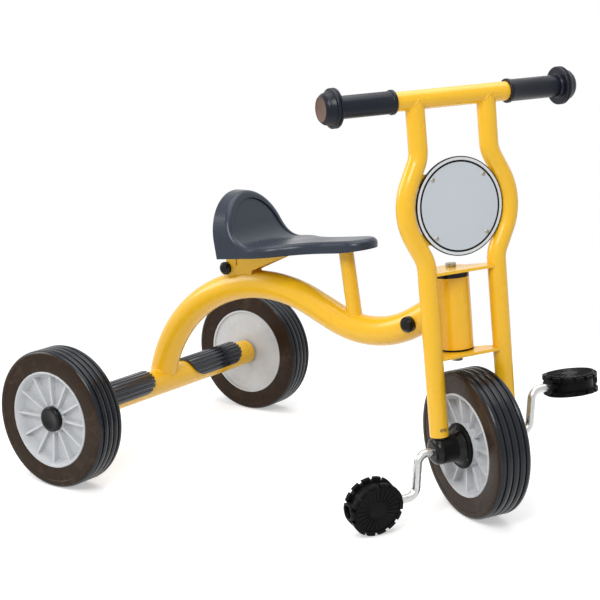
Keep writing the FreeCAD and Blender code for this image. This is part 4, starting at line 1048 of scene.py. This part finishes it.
@dataclass
class NumberPlate:
    """The round plate between the fork legs: a blank field in a black ring, held by four screws."""

    height: float = 315.7
    front: float = 5.5
    radius: float = 63.9
    thickness: float = 3.0
    ring_inner: float = 56.7
    ring_outer: float = 59.4
    ring_rise: float = 0.25
    ring_sink: float = 0.2
    margin_gap: float = 0.8
    edge_width: float = 0.9
    edge_rise: float = 0.3
    edge_shoulder: float = 0.2
    screw_offset: float = 37.6
    screw_radius: float = 2.9
    screw_height: float = 1.4
    screw_sink: float = 0.1

    def build(self) -> None:
        """Make the ring, the pale margin, the dark edge and the screws."""
        place = fork_place() @ shift(self.front, 0, self.height) @ FACING_AHEAD
        self.band("plate_ring", place, self.ring_inner, self.ring_outer, BLACK)
        self.band("plate_margin", place, self.ring_outer, self.radius - self.margin_gap, MARGIN)
        inner, outer = self.radius - self.edge_width, self.radius + self.edge_rise
        edge = [(-self.thickness, inner), (-self.thickness, outer), (self.edge_shoulder, outer),
                (self.edge_rise, self.radius), (self.edge_rise, inner)]
        seat_on(lathe("plate_edge", edge, place, steps=RIM_STEPS), "steering", "black_plastic", BLACK)
        for across, word in ((-1, "b"), (1, "a")):
            for up, place_word in ((-1, "bottom"), (1, "top")):
                spot = place @ shift(across * self.screw_offset, 0, up * self.screw_offset)
                screw = screw_head(f"plate_screw_{place_word}_{word}", spot, -self.screw_sink,
                                   self.screw_radius, self.screw_height)
                seat_on(screw, "steering", "bright_steel", DULL_STEEL)

    def band(self, name: str, place: Matrix, inner: float, outer: float, finish: bpy.types.Material) -> None:
        """Lay a thin flat ring on the plate's face, a black one twice as proud as a pale one.

        Args:
            name: The ring's name.
            place: The plate's middle.
            inner: The ring's inner radius.
            outer: The ring's outer radius.
            finish: The ring's finish.
        """
        black, sink = finish is BLACK, self.ring_sink
        rise = self.ring_rise if black else self.ring_rise / 2
        outline = [(-sink, inner), (rise, inner + sink), (rise, outer - sink), (-sink, outer)]
        slot = "black_plastic" if black else "plate_plastic"
        seat_on(lathe(name, outline, place, steps=RIM_STEPS), "steering", slot, finish)


@dataclass
class ForkFittings:
    """Set screws at the feet of the legs and the welds under the handlebar."""

    leg_radius: float = 12.5
    leg_spacing: float = 52.65
    screw_height: float = 29.0
    screw_radius: float = 2.4
    screw_turn: float = 12.0
    head_height: float = 0.9
    head_sink: float = 0.5
    bar_height: float = 455.8
    bar_radius: float = 12.5
    bead_radius: float = 0.9
    bead_steps: int = 96

    def build(self) -> None:
        """Make the screws and welds of both legs."""
        for side in Side:
            leg = fork_place() @ shift(0, side.value * self.leg_spacing, self.screw_height)
            for word, turn in (("a", -self.screw_turn), ("b", self.screw_turn)):
                spot = leg @ FACING_AHEAD @ Matrix.Rotation(math.radians(turn), 4, "Z")
                screw = screw_head(f"leg_screw_{side.word}_{word}", spot, self.leg_radius - self.head_sink,
                                   self.screw_radius, self.head_height)
                seat_on(screw, "steering", "bright_steel", DARK_STEEL)
            self.bar_weld(side)

    def bar_weld(self, side: Side) -> None:
        """Weld a leg's top to the underside of the handlebar.

        Args:
            side: The leg's side.
        """
        points = []
        for step in range(self.bead_steps):
            turn = 2 * math.pi * step / self.bead_steps
            x, y = self.leg_radius * math.cos(turn), self.leg_radius * math.sin(turn)
            drop = math.sqrt(max(self.bar_radius ** 2 - x ** 2, 0.0))
            points.append(Vector((x, side.value * self.leg_spacing + y, self.bar_height - drop)))
        weld = bead(f"bar_weld_{side.word}", points, self.bead_radius, fork_place(), ripple=0.0)
        seat_on(weld, "steering", "frame_paint", PAINT)


@dataclass
class TubeFrame:
    """The arched main tube's welds, to the axle tube, the head tube and the seat post.

    A weld is sought along a tube by halving the way to a spot that is surely outside the other tube.
    """

    axle_radius: float = 20.0
    main_radius: float = 20.5
    main_foot: float = -6.0
    hump_top: float = 273.4
    hump_radius: float = 211.0
    main_fall: float = 23.3
    main_rise: float = 31.8
    dip_radius: float = 138.0
    head_joint: float = 188.0
    head_radius: float = 23.0
    post_foot: float = 356.4
    post_lean: float = 9.0
    post_radius: float = 10.4
    bead_radius: float = 1.3
    bead_steps: int = 90
    halvings: int = 24
    wheel_radius: float = 100.0
    fill_radius: float = 19.7
    fill_edge: float = 19.0
    fill_depth: float = 2.0
    fill_root: float = 0.1
    fill_steps: int = 24
    longest_foot: float = 60.0
    longest_head: float = 90.0
    longest_post: float = 60.0

    def build(self) -> None:
        """Make the welds."""
        self.seam("axle_weld", self.foot_point, self.clear_of_axle, self.longest_foot)
        self.seam("head_weld", self.head_point, self.clear_of_head, self.longest_head)
        self.seam("post_weld", self.post_point, self.clear_of_main, self.longest_post)
        self.foot_fill()

    def rear_place(self) -> Matrix:
        """Place the floor's spot below the rear axle, where the tubes are drawn from."""
        return Matrix.Translation(Vector((joint("right_wheel_spin")["pos_m"][0], 0, 0)))

    def hump(self) -> Vector:
        """Find where the centre of the arc over the rear axle lies.

        Returns:
            The centre in millimetres.
        """
        height = self.hump_top - self.hump_radius
        rise = self.wheel_radius - height
        return Vector((self.main_foot + math.sqrt(self.hump_radius ** 2 - rise ** 2), 0, height))

    def steering_line(self) -> tuple[Vector, Vector]:
        """Find the steering axis from the floor's spot below the rear axle.

        Returns:
            Its foot in millimetres and its direction.
        """
        entry = joint("steering")
        foot = Vector(entry["pos_m"]) - self.rear_place().translation
        return foot / MM, Vector(entry["axis"]).normalized()

    def joint_spot(self) -> Vector:
        """Find where the main tube's line meets the steering axis."""
        foot, up = self.steering_line()
        return foot + up * self.head_joint

    def dip(self) -> Vector:
        """Find where the centre of the arc through the dip lies.

        Returns:
            The centre in millimetres.
        """
        (down, normal), (up, _) = slope(-self.main_fall), slope(self.main_rise)
        crest = self.hump() + normal * self.hump_radius
        ahead = self.joint_spot() - crest
        reach = (ahead.x * up.z - ahead.z * up.x) / (down.x * up.z - down.z * up.x)
        bend = math.radians(self.main_fall) + math.radians(self.main_rise)
        start = crest + down * (reach - self.dip_radius * math.tan(bend / 2))
        return start + normal * self.dip_radius

    def seam(self, name: str, point_at: Callable[[float, float], Vector],
             outside: Callable[[Vector], bool], longest: float) -> None:
        """Lay a weld where a tube leaves another one.

        Args:
            name: The weld's name.
            point_at: Gives a point of the first tube's skin for a turn round it and a way along it.
            outside: Tells whether a point lies outside the other tube.
            longest: A way along the tube that is outside all round.
        """
        points = []
        for step in range(self.bead_steps):
            turn = 2 * math.pi * step / self.bead_steps
            low, high = 0.0, longest
            for _ in range(self.halvings):
                middle = (low + high) / 2
                low, high = (low, middle) if outside(point_at(turn, middle)) else (middle, high)
            points.append(point_at(turn, high))
        seat_on(bead(name, points, self.bead_radius, self.rear_place()), "frame", "frame_paint", PAINT)

    def foot_fill(self) -> None:
        """Weld shut the crescent that the main tube's foot leaves open behind the axle tube."""
        mesh = bmesh.new()
        spread = math.acos((self.fill_edge + self.main_foot) / self.fill_radius)
        turns = [math.pi + spread * (2 * step / self.fill_steps - 1) for step in range(self.fill_steps + 1)]
        low, high = [[mesh.verts.new((self.main_foot + self.fill_radius * math.cos(turn),
                                      self.fill_radius * math.sin(turn), self.wheel_radius + rise))
                      for turn in turns] for rise in (-self.fill_root, self.fill_depth)]
        mesh.faces.new(low)
        mesh.faces.new(high)
        for index in range(len(turns)):
            after = (index + 1) % len(turns)
            mesh.faces.new((low[index], low[after], high[after], high[index]))
        seat_on(finished_mesh("axle_weld_fill", mesh, self.rear_place()), "frame", "frame_paint", PAINT)

    def foot_point(self, turn: float, way: float) -> Vector:
        """Find a point of the main tube's skin near its foot.

        Args:
            turn: How far round the tube.
            way: How far along it from the rear axle's height.

        Returns:
            The point in millimetres.
        """
        hump = self.hump()
        start = math.pi - math.asin((self.wheel_radius - hump.z) / self.hump_radius)
        angle = start - way / self.hump_radius
        reach = self.hump_radius + self.main_radius * math.cos(turn)
        side = self.main_radius * math.sin(turn)
        return hump + Vector((reach * math.cos(angle), side, reach * math.sin(angle)))

    def clear_of_axle(self, point: Vector) -> bool:
        """Tell whether a point is above the axle tube's middle and outside it."""
        above = point.z - self.wheel_radius
        return above >= 0 and math.hypot(point.x, above) >= self.axle_radius

    def head_point(self, turn: float, way: float) -> Vector:
        """Find a point of the main tube's skin near the head, at a turn round it and a way back from it."""
        ahead, above = slope(self.main_rise)
        return self.joint_spot() - ahead * way + skin(above, self.main_radius, turn)

    def clear_of_head(self, point: Vector) -> bool:
        """Tell whether a point is behind the head tube and outside it.

        Args:
            point: The point in millimetres.

        Returns:
            Whether it is.
        """
        foot, up = self.steering_line()
        arm = point - foot
        arm -= up * arm.dot(up)
        return arm.x < 0 and arm.length >= self.head_radius

    def post_point(self, turn: float, way: float) -> Vector:
        """Find a point of the seat post's skin near its foot.

        Args:
            turn: How far round the post.
            way: How far up it from the main tube's line.

        Returns:
            The point in millimetres.
        """
        dip = self.dip()
        step = self.post_foot - dip.x
        foot = Vector((self.post_foot, 0, dip.z - math.sqrt(self.dip_radius ** 2 - step ** 2)))
        ahead, up = slope(self.post_lean)
        return foot + up * way + skin(ahead, self.post_radius, turn)

    def clear_of_main(self, point: Vector) -> bool:
        """Tell whether a point is outside the main tube's dip.

        Args:
            point: The point in millimetres.

        Returns:
            Whether it is.
        """
        dip = self.dip()
        away = math.hypot(point.x - dip.x, point.z - dip.z) - self.dip_radius
        return math.hypot(away, point.y) >= self.main_radius


@dataclass
class Mouldings:
    """Frame pieces that only need their edges rounded."""

    plain: tuple[str, ...] = ("seat_bracket", "cross_plate_lower", "cross_plate_upper", "plate_lugs",
                              "pedal_right", "pedal_left", "bearing_right", "bearing_left",
                              "head_bush_upper", "head_bush_lower", "axle_plug_right", "axle_plug_left",
                              "step_pad_right", "step_pad_left")
    capped: tuple[str, ...] = ("frame_bolt_caps", "bracket_caps", "king_pin")
    plain_round: float = 0.5
    capped_round: float = 1.0

    def build(self) -> None:
        """Round the edges."""
        for names, width in ((self.plain, self.plain_round), (self.capped, self.capped_round)):
            for name in names:
                soften(name, width, segments=3)


def seen_rays(tree: Tree) -> Socket:
    """Pick the rays that show a surface: straight from the camera, mirrored, or through glass.

    Args:
        tree: The tree that gets the nodes.

    Returns:
        A value of 1 for those rays, and 0 for the rays that only carry light.
    """
    path = tree.nodes.new("ShaderNodeLightPath").outputs
    straight = worked_out(tree, "MAXIMUM", path["Is Camera Ray"], path["Is Glossy Ray"])
    return worked_out(tree, "MAXIMUM", straight, path["Is Transmission Ray"])


@dataclass(frozen=True)
class Lamp:
    """A large square lamp, with its place in millimetres, its side in metres and its power in watts."""

    name: str
    spot: tuple[float, float, float]
    size: float
    power: float

    def build(self) -> None:
        """Hang the lamp so that it faces the machine."""
        data = bpy.data.lights.new(self.name, "AREA")
        data.shape, data.size, data.energy = "SQUARE", self.size, self.power
        lamp = bpy.data.objects.new(self.name, data)
        place = Vector(self.spot) * MM
        turn = (LAMP_AIM - place).to_track_quat("-Z", "Y")
        lamp.matrix_world = Matrix.Translation(place) @ turn.to_matrix().to_4x4()
        bpy.context.scene.collection.objects.link(lamp)


LAMP_AIM = Vector((0, 0, 0.25))
LAMPS = (Lamp("key_lamp", (700, -2050, 2150), 1.1, 43), Lamp("side_lamp", (-2000, -900, 1300), 1.2, 20),
         Lamp("top_lamp", (100, 300, 2400), 2.2, 36))
WHITE = (1, 1, 1, 1)


@dataclass
class Studio:
    """A white floor and soft lamps, with the camera where the photograph was taken."""

    camera_spot: tuple[float, float, float] = (1085.3, -1547.0, 675.8)
    gaze: tuple[float, float, float] = (-0.568, 0.7945, -0.2148)
    roll: float = -0.81
    lens: float = 81.55
    sensor: float = 36.0
    floor_size: float = 60.0
    floor_glow: float = 0.42
    floor_grey: float = 0.8
    floor_rough: float = 0.9
    floor_shine: float = 0.1
    near: float = 0.5
    far: float = 1.1
    world_light: float = 0.42

    def build(self) -> None:
        """Make the camera, the floor, the world and the lamps."""
        self.camera()
        self.floor()
        self.world()
        for lamp in LAMPS:
            lamp.build()
        bpy.context.scene.view_settings.view_transform = "Standard"

    def camera(self) -> None:
        """Place the camera."""
        data = bpy.data.cameras.new("camera")
        data.lens, data.sensor_width = self.lens, self.sensor
        camera = bpy.data.objects.new("camera", data)
        ahead = Vector(self.gaze).normalized()
        right = ahead.cross(Vector((0, 0, 1))).normalized()
        up = right.cross(ahead)
        turn = Matrix((right, up, -ahead)).transposed().to_4x4()
        camera.matrix_world = (Matrix.Translation(Vector(self.camera_spot) * MM) @ turn
                               @ Matrix.Rotation(math.radians(self.roll), 4, "Z"))
        bpy.context.scene.collection.objects.link(camera)
        bpy.context.scene.camera = camera

    def floor(self) -> None:
        """Lay a white floor that shows the machine's soft shadow."""
        mesh = bmesh.new()
        bmesh.ops.create_grid(mesh, x_segments=1, y_segments=1, size=self.floor_size / 2 / MM)
        floor = finished_mesh("floor", mesh, Matrix.Identity(4))
        material = bpy.data.materials.new("white_floor")
        material.use_nodes = True
        tree = material.node_tree
        shader = tree.nodes["Principled BSDF"]
        shader.inputs["Base Color"].default_value = (self.floor_grey, self.floor_grey, self.floor_grey, 1)
        shader.inputs["Roughness"].default_value = self.floor_rough
        shader.inputs["Specular IOR Level"].default_value = self.floor_shine
        glow, white = tree.nodes.new("ShaderNodeEmission"), tree.nodes.new("ShaderNodeEmission")
        glow.inputs["Strength"].default_value = self.floor_glow
        lit = tree.nodes.new("ShaderNodeAddShader")
        tree.links.new(shader.outputs["BSDF"], lit.inputs[0])
        tree.links.new(glow.outputs["Emission"], lit.inputs[1])
        fading = mixed_shaders(tree, self.away(tree), lit.outputs["Shader"], white.outputs["Emission"])
        seen = mixed_shaders(tree, seen_rays(tree), shader.outputs["BSDF"], fading)
        tree.links.new(seen, tree.nodes["Material Output"].inputs["Surface"])
        floor.data.materials.append(material)

    def away(self, tree: Tree) -> Socket:
        """Tell how far a spot of the floor is from the machine's middle.

        Args:
            tree: The floor's node tree.

        Returns:
            A value from 0 near the machine to 1 far from it.
        """
        spot, reach = tree.nodes.new("ShaderNodeNewGeometry"), tree.nodes.new("ShaderNodeVectorMath")
        reach.operation = "LENGTH"
        tree.links.new(spot.outputs["Position"], reach.inputs[0])
        spread = stretched(tree, reach.outputs["Value"], self.near, self.far)
        spread.interpolation_type = "SMOOTHSTEP"
        return spread.outputs["Result"]

    def world(self) -> None:
        """Light the scene softly from all round, and show white behind it."""
        world = bpy.data.worlds.new("studio")
        world.use_nodes = True
        tree = world.node_tree
        glow, white = tree.nodes["Background"], tree.nodes.new("ShaderNodeBackground")
        glow.inputs["Color"].default_value = WHITE
        glow.inputs["Strength"].default_value = self.world_light
        white.inputs["Color"].default_value = WHITE
        shown = mixed_shaders(tree, seen_rays(tree), glow.outputs["Background"], white.outputs["Background"])
        tree.links.new(shown, tree.nodes["World Output"].inputs["Surface"])
        bpy.context.scene.world = world


def main() -> None:
    """Dress the frame and build each sub-assembly in order."""
    logging.basicConfig(level=logging.INFO, format="%(name)s: %(message)s")
    dress_frame()
    for part in (RearWheels(), FrontWheel(), Pedals(), Grips(), NumberPlate(), ForkFittings(), TubeFrame(),
                 Mouldings(), Studio()):
        part.build()
        LOG.info("%s built", type(part).__name__)


if __name__ == "__main__":
    main()
